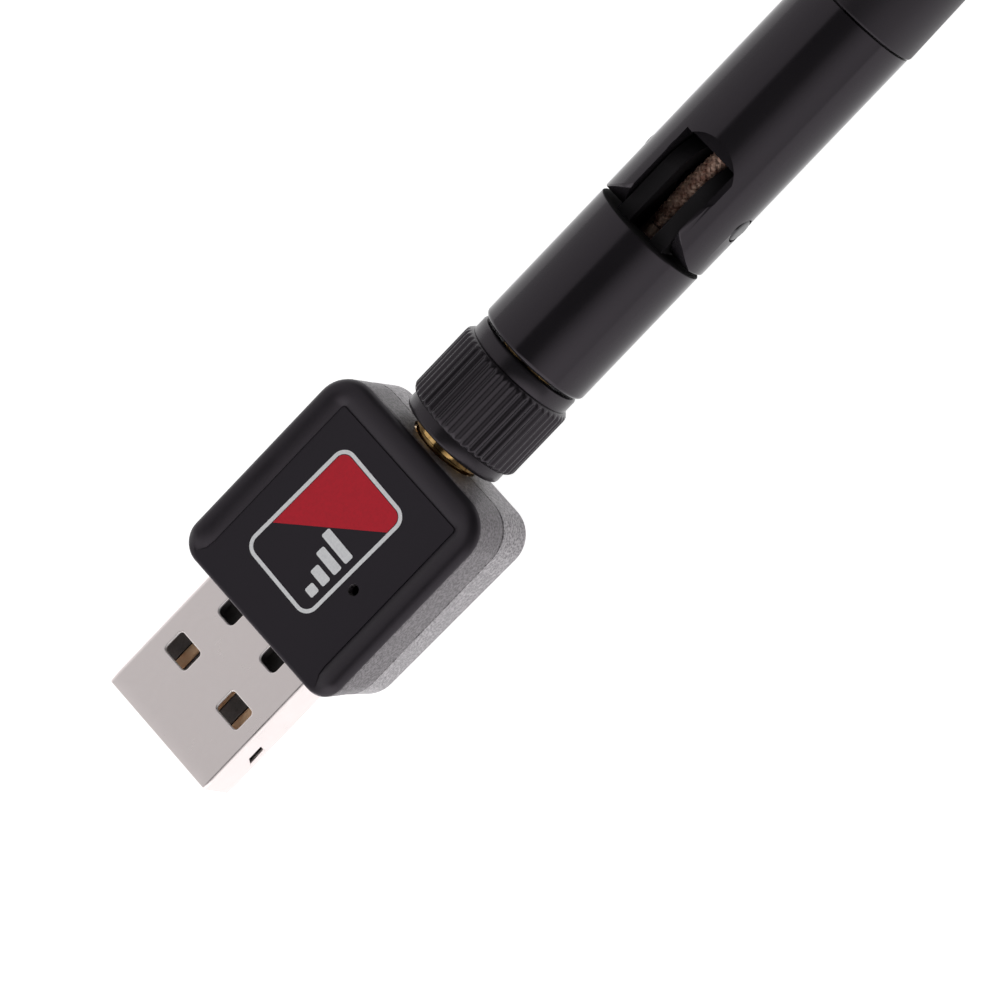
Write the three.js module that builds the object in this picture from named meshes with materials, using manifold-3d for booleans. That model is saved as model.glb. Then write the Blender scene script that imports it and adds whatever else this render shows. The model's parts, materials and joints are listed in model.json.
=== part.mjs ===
// USB wifi adapter with a screw-on, tilting whip antenna.
// Millimetres, +Z up out of the label face, +X along the object from the USB plug to the antenna tip.
// Every length "x" below is measured along the object from the tip of the plug, and every height
// from the common axis of the plug, the coaxial jack and the antenna. The last lines stand the
// object on its lowest point, with the middle of its length over the origin.
import * as THREE from "three";
import { mergeVertices } from "three/addons/utils/BufferGeometryUtils.js";
import Module from "manifold-3d";

const wasm = await Module();
wasm.setup();

// ---- Driving dimensions -------------------------------------------------------------------------

const LENGTH = 140.3; // plug tip to antenna tip
const ROUND = 40; // facets round a large turned piece
const FINE_ROUND = 20; // facets round a small turned piece

// Type A plug: the standard 12.0 x 4.5 mm shell
const PLUG = { width: 12.0, height: 4.5, wall: 0.3, end: 17.0, cornerRadius: 0.5 };
const WINDOW = { x: 6.15, y: 3.2, length: 2.0, width: 2.5 };
const LATCH_HOLE = { x: 11.15, y: 2.57, length: 2.1, width: 1.7 };
const SIDE_SLOT = { x: 4.25, z: -0.65, length: 1.5, height: 1.1 };
const CONTACT_Y = [3.5, 1.0, -1.0, -3.5]; // pins 1 to 4 of the plug
const CONTACT = { width: 0.96, bottom: -0.22, top: 0.0, start: 1.05, end: 18.5 };
const TONGUE = { start: 0.5, blockStart: 9.0, end: 16.7, halfWidth: 5.55, low: -1.9, top: -0.05 };
const BUMP = { halfLength: 0.75, halfWidth: 0.6, top: 2.15 }; // the insulator's bumps in the latch holes
const GROOVE_CLEARANCE = 0.08; // round each contact in the insulator
const SOLDER_TAB = { length: 1.9, top: 0.6, lift: 0.08 }; // two tabs from the shell's sides to the board

// Housing: two moulded shells that meet at the parting line
const HOUSING = { front: 11.9, rear: 31.5, halfWidth: 9.03, parting: 0.1, top: 4.7, bottom: -4.5 };
const CORNER = { front: 2.1, rear: 3.0 }; // radii of the housing's corners seen from above
const PARTING_GAP = 0.05;
const PLUG_GAP = { side: 0.15, face: 0.12 }; // round the plug in the front wall
const JACK_GAP = 0.3; // round the jack in the rear wall
const PANEL = { level: 4.22, halfWidth: 6.82, rear: 28.94 };
const CAVITY = { front: 13.1, rear: 30.1, halfWidth: 7.9, ceiling: 3.2, floor: -3.4, radius: 1.9 };
const LED_HOLE = { x: 19.8, y: -4.17, radius: 0.45 };

// Circuit board
const BOARD = { start: 17.3, end: 28.3, halfWidth: 7.0, top: -0.4, thickness: 1.2 };
const POST_X = [19.4, 26.2];
const POST_Y = [-5.6, 5.6];
const POST_RADIUS = 0.8;

// Coaxial jack on the housing, 1/4-36 thread, drawn at its pitch radius
const JACK = {
  start: 28.45,
  flangeEnd: 29.85,
  end: 37.2,
  radius: 2.95,
  flangeHalf: 3.0,
  seat: 35.45,
  insulatorBore: 2.05,
  plugBore: 2.33,
};
const PRONG = { length: 2.9, inner: 2.1, top: 0.45 }; // four prongs hold the board's edge
const PIN_RADIUS = 0.45;
const PIN_TAIL_RADIUS = 0.3;

// Coupling nut with its brass thread insert
const NUT = { start: 32.3, lipEnd: 33.5, knurlEnd: 39.85, end: 41.3, lipRadius: 4.62, collarRadius: 4.7 };
const KNURL = { ridges: 44, crest: 5.13, root: 4.86, chamfer: 0.25 };
const INSERT = { start: 32.6, shoulder: 38.57, end: 39.2, outer: 3.68, thread: 3.1, neck: 2.56 };

// Antenna connector: the body that the nut pulls onto the jack, and that the antenna swivels on
const CORE = {
  start: 35.6,
  flangeStart: 37.75,
  flangeEnd: 38.45,
  flangeRadius: 2.95,
  plugRadius: 2.25,
  boreEnd: 41.0,
  boreRadius: 2.03,
  smallBore: 1.3,
  neckEnd: 43.9,
  crimpEnd: 46.5,
  crimpRadius: 1.4,
};
const NECK_RADIUS = 2.4;
const SOCKET = { start: 35.9, depth: 2.1, end: 44.0, bore: 0.5, radius: 0.7 }; // takes the jack's pin
const CLIP = { start: 42.98, end: 43.48, inner: 2.16, outer: 3.0, groove: 2.05 };

// Lower barrel with the hinge lugs, and the fork that turns on them
const BARREL = { start: 41.5, end: 54.6, radius: 4.85, cavityRadius: 3.4, wallEnd: 42.7, cavityEnd: 51.5 };
const HINGE_X = 59.65;
const LUG = { radius: 3.15, halfWidth: 2.4, channelHalf: 1.12, channelFloor: -1.6 };
const FORK = {
  start: 54.94,
  end: 77.5,
  radius: 4.93,
  slotHalf: 2.55,
  slotEnd: 63.0,
  slotFloor: -3.35,
  cableBore: 1.95,
};
const SCOOP = { back: 1.75, floor: 3.6, radius: 3.0 }; // a shallow relief at the slot's end
const EAR_RADIUS = 4.75; // the ears' ends, round the hinge axis, clear the barrel's shoulder
const SPIGOT = { end: 84.0, radius: 4.15, bore: 3.2 };
const HINGE_PIN = { radius: 0.9, headRadius: 1.1, inner: 1.3, headStart: 4.4, outer: 5.05 };
const PIN_CLEARANCE = 0.06;

// The antenna is stored swivelled a little, so that its slot leans towards the light's side.
const ANTENNA_ROLL = THREE.MathUtils.degToRad(6.5);

// Antenna whip
const RADOME = {
  start: 77.75,
  radius: 5.1,
  tipRadius: 4.0,
  bore: 3.85,
  boreTip: 2.9,
  sleeveBore: 4.3,
  sleeveEnd: 84.4,
};
const COAX_RADIUS = 0.85;
const COAX = { start: 44.15, bendStart: 55.4, bendEnd: 64.2, end: 111.4 };
const CHOKE = { start: 86.0, end: 112.0, outer: 2.9, wall: 0.25, coreHole: 0.62 };
const RADIATOR = { start: 111.6, end: 135.5, radius: 0.45 };

// ---- Materials ----------------------------------------------------------------------------------

function finish(color, roughness, metalness) {
  return new THREE.MeshStandardMaterial({ color, roughness, metalness });
}

const nickel = finish(0xbdb5b0, 0.32, 1.0);
const gold = finish(0xc79a45, 0.28, 1.0);
const brass = finish(0xb08d4f, 0.35, 1.0);
const steel = finish(0x8f8f92, 0.35, 1.0);
const copperBraid = finish(0x6e4637, 0.55, 0.8);
const casePlastic = finish(0x1d1b1e, 0.55, 0.0);
const caseUnderside = finish(0x2b292c, 0.7, 0.0);
const glossBlack = finish(0x141315, 0.3, 0.0);
const insulatorBlack = finish(0x121212, 0.6, 0.0);
const ptfe = finish(0xe9e7e0, 0.6, 0.0);
const boardGreen = finish(0x14532b, 0.5, 0.0);
const chipBlack = finish(0x1a1a1c, 0.55, 0.0);
const ceramic = finish(0x8b6b4a, 0.6, 0.0);
const canMetal = finish(0xb9bbbd, 0.3, 1.0);
const ledLens = finish(0xe8ecd8, 0.2, 0.0);
const silicone = finish(0xb5492c, 0.7, 0.0);

// ---- Solids -------------------------------------------------------------------------------------

// A closed three.js geometry as a manifold solid.
function solid(geometry) {
  const bare = geometry.index ? geometry.toNonIndexed() : geometry.clone();
  bare.deleteAttribute("normal");
  bare.deleteAttribute("uv");
  const merged = mergeVertices(bare, 1e-4);
  return new wasm.Manifold(
    new wasm.Mesh({
      numProp: 3,
      vertProperties: new Float32Array(merged.attributes.position.array),
      triVerts: new Uint32Array(merged.index.array),
    }),
  );
}

function geometryOf(body) {
  const mesh = body.getMesh();
  const geometry = new THREE.BufferGeometry();
  geometry.setAttribute("position", new THREE.BufferAttribute(mesh.vertProperties, 3));
  geometry.setIndex(new THREE.BufferAttribute(mesh.triVerts, 1));
  geometry.computeVertexNormals();
  return geometry;
}

// A box between two corners.
function box([x0, y0, z0], [x1, y1, z1]) {
  const geometry = new THREE.BoxGeometry(x1 - x0, y1 - y0, z1 - z0);
  geometry.translate((x0 + x1) / 2, (y0 + y1) / 2, (z0 + z1) / 2);
  return solid(geometry);
}

// A solid turned about the object's axis. The profile is a list of [x, radius] that runs
// back along the outside and forward along the inside, so that its faces point out.
function turned(profile, facets = ROUND) {
  const points = profile.map(([x, radius]) => new THREE.Vector2(radius, x));
  const geometry = new THREE.LatheGeometry(points, facets);
  geometry.rotateZ(-Math.PI / 2);
  return solid(geometry);
}

// A plain cylinder along X between two stations.
function rod(start, end, radius, facets = FINE_ROUND) {
  return turned([[start, 0], [start, radius], [end, radius], [end, 0]], facets);
}

// A tube along X between two stations.
function tube(start, end, inner, outer, facets = FINE_ROUND) {
  return turned(
    [[start, inner], [start, outer], [end, outer], [end, inner], [start, inner]],
    facets,
  );
}

// A cylinder along Y or Z, for pins, posts and holes.
function crossRod(axis, [x, y, z], from, to, radius, facets = FINE_ROUND) {
  const geometry = new THREE.CylinderGeometry(radius, radius, to - from, facets);
  geometry.translate(0, (from + to) / 2, 0);
  if (axis === "z") geometry.rotateX(Math.PI / 2);
  geometry.translate(x, y, z);
  return solid(geometry);
}

// A solid skinned over loops of equal length, each star-shaped about its own middle.
function skinned(loops) {
  const count = loops[0].length;
  const positions = loops.flat().flatMap((point) => point.toArray());
  const middle = (loop) =>
    loop.reduce((sum, point) => sum.add(point), new THREE.Vector3()).divideScalar(count);
  positions.push(...middle(loops[0]).toArray(), ...middle(loops.at(-1)).toArray());
  const firstMiddle = loops.length * count;
  const lastMiddle = firstMiddle + 1;
  const lastLoop = (loops.length - 1) * count;
  const index = [];
  for (let i = 0; i < count; i++) {
    const next = (i + 1) % count;
    for (let level = 0; level < loops.length - 1; level++) {
      const low = level * count;
      const high = low + count;
      index.push(low + i, low + next, high + next, low + i, high + next, high + i);
    }
    index.push(firstMiddle, next, i);
    index.push(lastMiddle, lastLoop + i, lastLoop + next);
  }
  const geometry = new THREE.BufferGeometry();
  geometry.setAttribute("position", new THREE.Float32BufferAttribute(positions, 3));
  geometry.setIndex(index);
  return solid(geometry);
}

// A rounded rectangle seen from above, at one height. Its front corners may have their own radius.
function planLoop(x0, x1, halfWidth, radius, z, frontRadius = radius) {
  const corners = [
    [x1 - radius, halfWidth - radius, radius, 0],
    [x0 + frontRadius, halfWidth - frontRadius, frontRadius, 90],
    [x0 + frontRadius, frontRadius - halfWidth, frontRadius, 180],
    [x1 - radius, radius - halfWidth, radius, 270],
  ];
  const steps = 6;
  return corners.flatMap(([x, y, reach, startAngle]) =>
    Array.from({ length: steps + 1 }, (_, i) => {
      const angle = THREE.MathUtils.degToRad(startAngle + (90 * i) / steps);
      return new THREE.Vector3(x + reach * Math.cos(angle), y + reach * Math.sin(angle), z);
    }),
  );
}

// A rounded rectangle across the axis, extruded along X.
function roundedBar(x0, x1, halfWidth, halfHeight, radius) {
  const shape = new THREE.Shape();
  shape.moveTo(halfWidth - radius, -halfHeight);
  shape.absarc(halfWidth - radius, radius - halfHeight, radius, -Math.PI / 2, 0);
  shape.absarc(halfWidth - radius, halfHeight - radius, radius, 0, Math.PI / 2);
  shape.absarc(radius - halfWidth, halfHeight - radius, radius, Math.PI / 2, Math.PI);
  shape.absarc(radius - halfWidth, radius - halfHeight, radius, Math.PI, 1.5 * Math.PI);
  const geometry = new THREE.ExtrudeGeometry(shape, {
    depth: x1 - x0,
    bevelEnabled: false,
    curveSegments: 5,
  });
  geometry.rotateX(Math.PI / 2);
  geometry.rotateZ(Math.PI / 2);
  geometry.translate(x0, 0, 0);
  return solid(geometry);
}

// A side outline in X and Z, extruded across Y between two widths.
function sidePlate(shape, y0, y1, curveSegments = 12) {
  const geometry = new THREE.ExtrudeGeometry(shape, {
    depth: y1 - y0,
    bevelEnabled: false,
    curveSegments,
  });
  geometry.rotateX(Math.PI / 2);
  geometry.translate(0, y1, 0);
  return solid(geometry);
}

// A round cable along a smooth curve through a few points.
function cable(points, radius, steps) {
  const path = new THREE.CatmullRomCurve3(points.map((point) => new THREE.Vector3(...point)));
  const section = new THREE.Shape();
  section.absarc(0, 0, radius, 0, 2 * Math.PI);
  const geometry = new THREE.ExtrudeGeometry(section, {
    steps,
    curveSegments: 5,
    extrudePath: path,
  });
  return solid(geometry);
}

function cut(body, ...tools) {
  return tools.reduce((rest, tool) => rest.subtract(tool), body);
}

function join(body, ...others) {
  return others.reduce((sum, other) => sum.add(other), body);
}

// ---- USB plug -----------------------------------------------------------------------------------

function usbShell() {
  const halfWidth = PLUG.width / 2;
  const halfHeight = PLUG.height / 2;
  const inside = PLUG.cornerRadius - PLUG.wall;
  const outer = roundedBar(0, PLUG.end, halfWidth, halfHeight, PLUG.cornerRadius);
  const hollow = roundedBar(-1, PLUG.end + 1, halfWidth - PLUG.wall, halfHeight - PLUG.wall, inside);
  const through = (hole, side) =>
    box(
      [hole.x - hole.length / 2, side * hole.y - hole.width / 2, -halfHeight - 1],
      [hole.x + hole.length / 2, side * hole.y + hole.width / 2, halfHeight + 1],
    );
  const sideSlot = box(
    [SIDE_SLOT.x - SIDE_SLOT.length / 2, -halfWidth - 1, SIDE_SLOT.z - SIDE_SLOT.height / 2],
    [SIDE_SLOT.x + SIDE_SLOT.length / 2, halfWidth + 1, SIDE_SLOT.z + SIDE_SLOT.height / 2],
  );
  const holes = [-1, 1].flatMap((side) => [through(WINDOW, side), through(LATCH_HOLE, side)]);
  // Two solder tabs run back from the sides over the board.
  const tabs = [-1, 1].map((side) => {
    const ys = [side * (halfWidth - PLUG.wall), side * halfWidth].sort((a, b) => a - b);
    return box(
      [PLUG.end - 0.5, ys[0], BOARD.top + SOLDER_TAB.lift],
      [PLUG.end + SOLDER_TAB.length, ys[1], SOLDER_TAB.top],
    );
  });
  return join(cut(outer, hollow, sideSlot, ...holes), ...tabs);
}

// The insulator: a thin tongue under the contacts and a full block behind it.
function usbTongue() {
  const { start, blockStart, end, halfWidth, low, top } = TONGUE;
  const tongue = box([start, -halfWidth, low], [blockStart + 1, halfWidth, top]);
  const block = box([blockStart, -halfWidth, low], [end, halfWidth, -low]);
  // A bump of the block stands in each latch hole.
  const bumps = [-1, 1].map((side) =>
    box(
      [LATCH_HOLE.x - BUMP.halfLength, side * LATCH_HOLE.y - BUMP.halfWidth, 1],
      [LATCH_HOLE.x + BUMP.halfLength, side * LATCH_HOLE.y + BUMP.halfWidth, BUMP.top],
    ),
  );
  const half = CONTACT.width / 2 + GROOVE_CLEARANCE;
  const grooves = CONTACT_Y.map((y) =>
    box(
      [CONTACT.start - GROOVE_CLEARANCE, y - half, CONTACT.bottom - GROOVE_CLEARANCE],
      [end + 1, y + half, CONTACT.top + GROOVE_CLEARANCE],
    ),
  );
  return cut(join(tongue, block, ...bumps), ...grooves);
}

function usbContact(y) {
  return box(
    [CONTACT.start, y - CONTACT.width / 2, CONTACT.bottom],
    [CONTACT.end, y + CONTACT.width / 2, CONTACT.top],
  );
}

// ---- Housing ------------------------------------------------------------------------------------

// Where the plug and the jack pass through the front and rear walls.
const plugOpening = box(
  [HOUSING.front - 2, -PLUG.width / 2 - PLUG_GAP.side, -PLUG.height / 2 - PLUG_GAP.face],
  [CAVITY.front + 1.5, PLUG.width / 2 + PLUG_GAP.side, PLUG.height / 2 + PLUG_GAP.face],
);
const jackOpening = rod(CAVITY.rear - 1.5, HOUSING.rear + 2, JACK.radius + JACK_GAP, ROUND);

// The housing's outline at one height, set in from its full size at the front, rear and sides.
function housingLoop(frontInset, rearInset, sideInset, z) {
  return planLoop(
    HOUSING.front + frontInset,
    HOUSING.rear - rearInset,
    HOUSING.halfWidth - sideInset,
    CORNER.rear - 0.8 * rearInset,
    z,
    CORNER.front - 0.8 * frontInset,
  );
}

function housingTop() {
  const low = HOUSING.parting + PARTING_GAP;
  const { front, top } = HOUSING;
  const { x, y, radius } = LED_HOLE;
  const outer = skinned([
    housingLoop(0, 0, 0, low),
    housingLoop(0, 0.15, 0.01, top - 0.8),
    housingLoop(0.05, 0.25, 0.1, top - 0.4),
    housingLoop(0.25, 0.5, 0.31, top - 0.13),
    housingLoop(0.6, 0.85, 0.63, top),
  ]);
  const inside = skinned([
    planLoop(CAVITY.front, CAVITY.rear, CAVITY.halfWidth, CAVITY.radius, low - 1),
    planLoop(CAVITY.front, CAVITY.rear, CAVITY.halfWidth, CAVITY.radius, CAVITY.ceiling),
  ]);
  const panel = box([front - 1, -PANEL.halfWidth, PANEL.level], [PANEL.rear, PANEL.halfWidth, top + 1]);
  const ledHole = crossRod("z", [x, y, 0], CAVITY.ceiling - 1, top + 1, radius, 16);
  return cut(outer, inside, panel, ledHole, plugOpening, jackOpening);
}

function housingBottom() {
  const high = HOUSING.parting - PARTING_GAP;
  const { bottom } = HOUSING;
  const outer = skinned([
    housingLoop(0.5, 0.55, 0.58, bottom),
    housingLoop(0.15, 0.15, 0.18, bottom + 0.2),
    housingLoop(0, 0.02, 0.03, bottom + 0.55),
    housingLoop(0, 0, 0, high),
  ]);
  const inside = skinned([
    planLoop(CAVITY.front, CAVITY.rear, CAVITY.halfWidth, CAVITY.radius, CAVITY.floor),
    planLoop(CAVITY.front, CAVITY.rear, CAVITY.halfWidth, CAVITY.radius, high + 1),
  ]);
  return cut(join(cut(outer, inside), closingLip(high), ...boardPosts()), plugOpening, jackOpening);
}

// A thin lip stands up inside the joint and centres the upper shell.
function closingLip(high) {
  const ring = (outset, z0, z1) => {
    const grow = (margin, z) =>
      planLoop(CAVITY.front - margin, CAVITY.rear + margin, CAVITY.halfWidth + margin, CAVITY.radius, z);
    return cut(
      skinned([grow(outset, z0), grow(outset, z1)]),
      skinned([grow(-0.65, z0 - 1), grow(-0.65, z1 + 1)]),
    );
  };
  const foot = ring(0.4, high - 1.0, high - 0.1);
  const upright = ring(-0.15, high - 0.6, high + 0.8);
  const plugGap = box([CAVITY.front - 0.01, -6.4, -9], [CAVITY.front + 2, 6.4, 9]);
  const jackGap = box([CAVITY.rear - 2, -3.5, -9], [CAVITY.rear + 0.01, 3.5, 9]);
  return cut(join(foot, upright), plugGap, jackGap);
}

function boardPosts() {
  const postTop = BOARD.top - BOARD.thickness - 0.1;
  return POST_X.flatMap((x) =>
    POST_Y.map((y) => crossRod("z", [x, y, 0], CAVITY.floor - 0.5, postTop, POST_RADIUS, 12)),
  );
}

// ---- Circuit board and what is on it --------------------------------------------------------------

function circuitBoard() {
  return box(
    [BOARD.start, -BOARD.halfWidth, BOARD.top - BOARD.thickness],
    [BOARD.end, BOARD.halfWidth, BOARD.top],
  );
}

// A component lies on the board, with a solder gap under it.
function component(x, y, length, width, height) {
  const seat = BOARD.top + 0.05;
  return box([x - length / 2, y - width / 2, seat], [x + length / 2, y + width / 2, seat + height]);
}

// ---- Coaxial jack -------------------------------------------------------------------------------

function jackBody() {
  const { start, flangeEnd, end, radius, flangeHalf, seat } = JACK;
  const flange = box([start, -flangeHalf, -flangeHalf], [flangeEnd, flangeHalf, flangeHalf]);
  const barrel = turned(
    [[start + 0.5, 0], [start + 0.5, radius], [end - 0.25, radius], [end, radius - 0.25], [end, 0]],
    ROUND,
  );
  const underBoard = BOARD.top - BOARD.thickness - 0.06;
  const prongs = [-1, 1].flatMap((side) => {
    const ys = [side * PRONG.inner, side * flangeHalf].sort((a, b) => a - b);
    return [
      box([start - PRONG.length, ys[0], BOARD.top + 0.06], [start + 0.5, ys[1], PRONG.top]),
      box([start - PRONG.length, ys[0], underBoard - 0.9], [start + 0.5, ys[1], underBoard]),
    ];
  });
  const insulatorBore = rod(start - 1, seat + 0.5, JACK.insulatorBore, FINE_ROUND);
  const plugBore = rod(seat, end + 1, JACK.plugBore, ROUND);
  return cut(join(flange, barrel, ...prongs), insulatorBore, plugBore);
}

function jackContact() {
  return turned(
    [
      [BOARD.end - 2.4, 0],
      [BOARD.end - 2.4, PIN_TAIL_RADIUS],
      [JACK.start + 0.4, PIN_TAIL_RADIUS],
      [JACK.start + 0.4, PIN_RADIUS],
      [JACK.end - 0.5, PIN_RADIUS],
      [JACK.end - 0.2, PIN_RADIUS - 0.2],
      [JACK.end - 0.2, 0],
    ],
    FINE_ROUND,
  );
}

// ---- Coupling nut -------------------------------------------------------------------------------

// One turn of the nut's skin: ridges between two radii, or a plain ring where they are the same.
function nutLoop(x, crest, root = crest) {
  const halfPitch = Math.PI / KNURL.ridges;
  return Array.from({ length: 2 * KNURL.ridges }, (_, i) => {
    const radius = i % 2 ? root : crest;
    return new THREE.Vector3(x, -radius * Math.sin(i * halfPitch), radius * Math.cos(i * halfPitch));
  });
}

function couplingNut() {
  const { start, lipEnd, knurlEnd, end, lipRadius, collarRadius } = NUT;
  const { crest, root, chamfer } = KNURL;
  const skin = skinned([
    nutLoop(start, lipRadius - 0.15),
    nutLoop(start + 0.15, lipRadius),
    nutLoop(lipEnd, lipRadius),
    nutLoop(lipEnd + 0.05, root + 0.02, root),
    nutLoop(lipEnd + chamfer, crest, root),
    nutLoop(knurlEnd - chamfer, crest, root),
    nutLoop(knurlEnd - 0.05, root + 0.02, root),
    nutLoop(knurlEnd, collarRadius),
    nutLoop(end - 0.2, collarRadius),
    nutLoop(end, collarRadius - 0.2),
  ]);
  const insertSeat = rod(start - 1, INSERT.end + 0.08, INSERT.outer + 0.07, ROUND);
  const neckHole = rod(start, end + 1, NECK_RADIUS + 0.16, ROUND);
  return cut(skin, insertSeat, neckHole);
}

function threadInsert() {
  const { start, shoulder, end, outer, thread, neck } = INSERT;
  return turned([
    [start, thread],
    [start, outer],
    [end, outer],
    [end, neck],
    [shoulder, neck],
    [shoulder, thread],
    [start, thread],
  ]);
}

// ---- Antenna connector --------------------------------------------------------------------------

function coreBody() {
  const { start, flangeStart, flangeEnd, flangeRadius, plugRadius } = CORE;
  const { boreEnd, boreRadius, smallBore, neckEnd, crimpEnd, crimpRadius } = CORE;
  const cableHole = COAX_RADIUS + 0.1;
  return turned([
    [start, boreRadius],
    [start, plugRadius],
    [flangeStart, plugRadius],
    [flangeStart, flangeRadius],
    [flangeEnd, flangeRadius],
    [flangeEnd, NECK_RADIUS],
    [CLIP.start - 0.04, NECK_RADIUS],
    [CLIP.start - 0.04, CLIP.groove],
    [CLIP.end + 0.04, CLIP.groove],
    [CLIP.end + 0.04, NECK_RADIUS],
    [neckEnd, NECK_RADIUS],
    [neckEnd, crimpRadius],
    [crimpEnd, crimpRadius],
    [crimpEnd, cableHole],
    [neckEnd, cableHole],
    [neckEnd, smallBore],
    [boreEnd, smallBore],
    [boreEnd, boreRadius],
    [start, boreRadius],
  ]);
}

function coreInsulator() {
  const start = CORE.start + 0.1;
  const end = CORE.neckEnd - 0.3;
  const shoulder = CORE.boreEnd - 0.1;
  const bore = SOCKET.radius + 0.08;
  const outer = CORE.boreRadius - 0.07;
  const small = CORE.smallBore - 0.08;
  return turned([
    [start, bore],
    [start, outer],
    [shoulder, outer],
    [shoulder, small],
    [end, small],
    [end, bore],
    [start, bore],
  ], FINE_ROUND);
}

// A socket that takes the jack's pin, with a solid tail soldered to the cable's core.
function coreContact() {
  const { start, depth, end, bore, radius } = SOCKET;
  return turned([
    [start, bore],
    [start, radius],
    [end, radius],
    [end, 0],
    [start + depth + 0.2, 0],
    [start + depth, bore],
    [start, bore],
  ], FINE_ROUND);
}

// An open clip in the neck's groove keeps the barrel on the connector.
function retainingClip() {
  const ring = tube(CLIP.start, CLIP.end, CLIP.inner, CLIP.outer, ROUND);
  return cut(ring, box([CLIP.start - 1, -1.1, 0], [CLIP.end + 1, 1.1, CLIP.outer + 1]));
}

// ---- Lower barrel and hinge ---------------------------------------------------------------------

function baseBarrel() {
  const { start, end, radius, cavityRadius, wallEnd, cavityEnd } = BARREL;
  const body = turned([
    [start, 0],
    [start, radius - 0.45],
    [start + 0.12, radius - 0.15],
    [start + 0.45, radius],
    [end - 0.15, radius],
    [end, radius - 0.15],
    [end, 0],
  ]);
  const outline = new THREE.Shape();
  outline.moveTo(end - 1, -LUG.radius);
  outline.lineTo(HINGE_X, -LUG.radius);
  outline.absarc(HINGE_X, 0, LUG.radius, -Math.PI / 2, Math.PI / 2);
  outline.lineTo(end - 1, LUG.radius);
  const lug = sidePlate(outline, -LUG.halfWidth, LUG.halfWidth);
  const reach = HINGE_X + LUG.radius + 1;
  const channel = box([end - 0.9, -LUG.channelHalf, LUG.channelFloor], [reach, LUG.channelHalf, radius + 1]);
  const channelInBarrel = box([end - 0.9, -LUG.channelHalf, LUG.radius], [end, LUG.channelHalf, radius + 1]);
  const pinHole = crossRod("y", [HINGE_X, 0, 0], -3, 3, HINGE_PIN.radius + PIN_CLEARANCE);
  const neckBore = rod(start - 1, wallEnd + 1, NECK_RADIUS + 0.1, ROUND);
  const cavity = rod(wallEnd, cavityEnd, cavityRadius, ROUND);
  const cableHole = rod(cavityEnd - 1, end, COAX_RADIUS + 0.25, FINE_ROUND);
  const hollows = [cut(channel, channelInBarrel), pinHole, neckBore, cavity, cableHole];
  return cut(join(body, lug), ...hollows);
}

function hingePin(side) {
  const ends = (from, to) => (side > 0 ? [from, to] : [-to, -from]);
  const centre = [HINGE_X, 0, 0];
  const shank = crossRod("y", centre, ...ends(HINGE_PIN.inner, HINGE_PIN.outer - 0.1), HINGE_PIN.radius);
  const head = crossRod("y", centre, ...ends(HINGE_PIN.headStart, HINGE_PIN.outer), HINGE_PIN.headRadius);
  return join(shank, head);
}

function hingeFork() {
  const { start, end, radius, slotHalf, slotEnd, slotFloor } = FORK;
  const body = turned([
    [start, 0],
    [start, radius - 0.12],
    [start + 0.12, radius],
    [end, radius],
    [end, SPIGOT.radius],
    [SPIGOT.end - 0.3, SPIGOT.radius],
    [SPIGOT.end, SPIGOT.radius - 0.3],
    [SPIGOT.end, 0],
  ]);
  const slot = box([start - 1, -slotHalf, slotFloor], [slotEnd, slotHalf, radius + 1]);
  // The ears are round about the hinge axis on the side that the whip tilts towards.
  const quarter = box([HINGE_X - 8, -radius - 1, 0], [HINGE_X, radius + 1, radius + 1]);
  const earEnds = cut(
    quarter,
    crossRod("y", [HINGE_X, 0, 0], -radius - 2, radius + 2, EAR_RADIUS, 72),
  );
  // A shallow scoop at the end of the slot lets the barrel's edge swing in.
  const scoop = crossRod("z", [slotEnd - SCOOP.back, 0, 0], SCOOP.floor, radius + 1, SCOOP.radius, 32);
  const holes = [-1, 1].flatMap((side) => {
    const ends = (from, to) => (side > 0 ? [from, to] : [-to, -from]);
    const centre = [HINGE_X, 0, 0];
    return [
      crossRod("y", centre, ...ends(2, 6), HINGE_PIN.radius + PIN_CLEARANCE),
      crossRod("y", centre, ...ends(HINGE_PIN.headStart - 0.1, 6), HINGE_PIN.headRadius + PIN_CLEARANCE),
    ];
  });
  const cableBore = rod(slotEnd - 1, SPIGOT.end + 1, FORK.cableBore, FINE_ROUND);
  const corePocket = rod(slotEnd + 5, SPIGOT.end + 1, SPIGOT.bore, ROUND);
  return cut(body, slot, earEnds, scoop, cableBore, corePocket, ...holes);
}

// ---- Whip ---------------------------------------------------------------------------------------

function radome() {
  const { start, radius, tipRadius, bore, boreTip, sleeveBore, sleeveEnd } = RADOME;
  const shoulder = LENGTH - tipRadius; // where the rounded tip starts
  const tip = (reach, centre, steps) =>
    Array.from({ length: steps + 1 }, (_, i) => {
      const angle = (Math.PI / 2) * (i / steps);
      return [centre + reach * Math.sin(angle), i === steps ? 0 : reach * Math.cos(angle)];
    });
  return turned([
    ...tip(boreTip, shoulder - 0.8, 4).reverse(),
    [sleeveEnd, bore],
    [sleeveEnd, sleeveBore],
    [start, sleeveBore],
    [start, radius - 0.15],
    [start + 0.2, radius],
    ...tip(tipRadius, shoulder, 6),
  ]);
}

// The quarter-wave sleeve, open towards the hinge and closed round the cable's core.
function chokeSleeve() {
  const { start, end, outer, wall, coreHole } = CHOKE;
  return turned([
    [start, outer - wall],
    [start, outer],
    [end, outer],
    [end, coreHole],
    [end - 0.4, coreHole],
    [end - 0.4, outer - wall],
    [start, outer - wall],
  ], FINE_ROUND);
}

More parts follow.
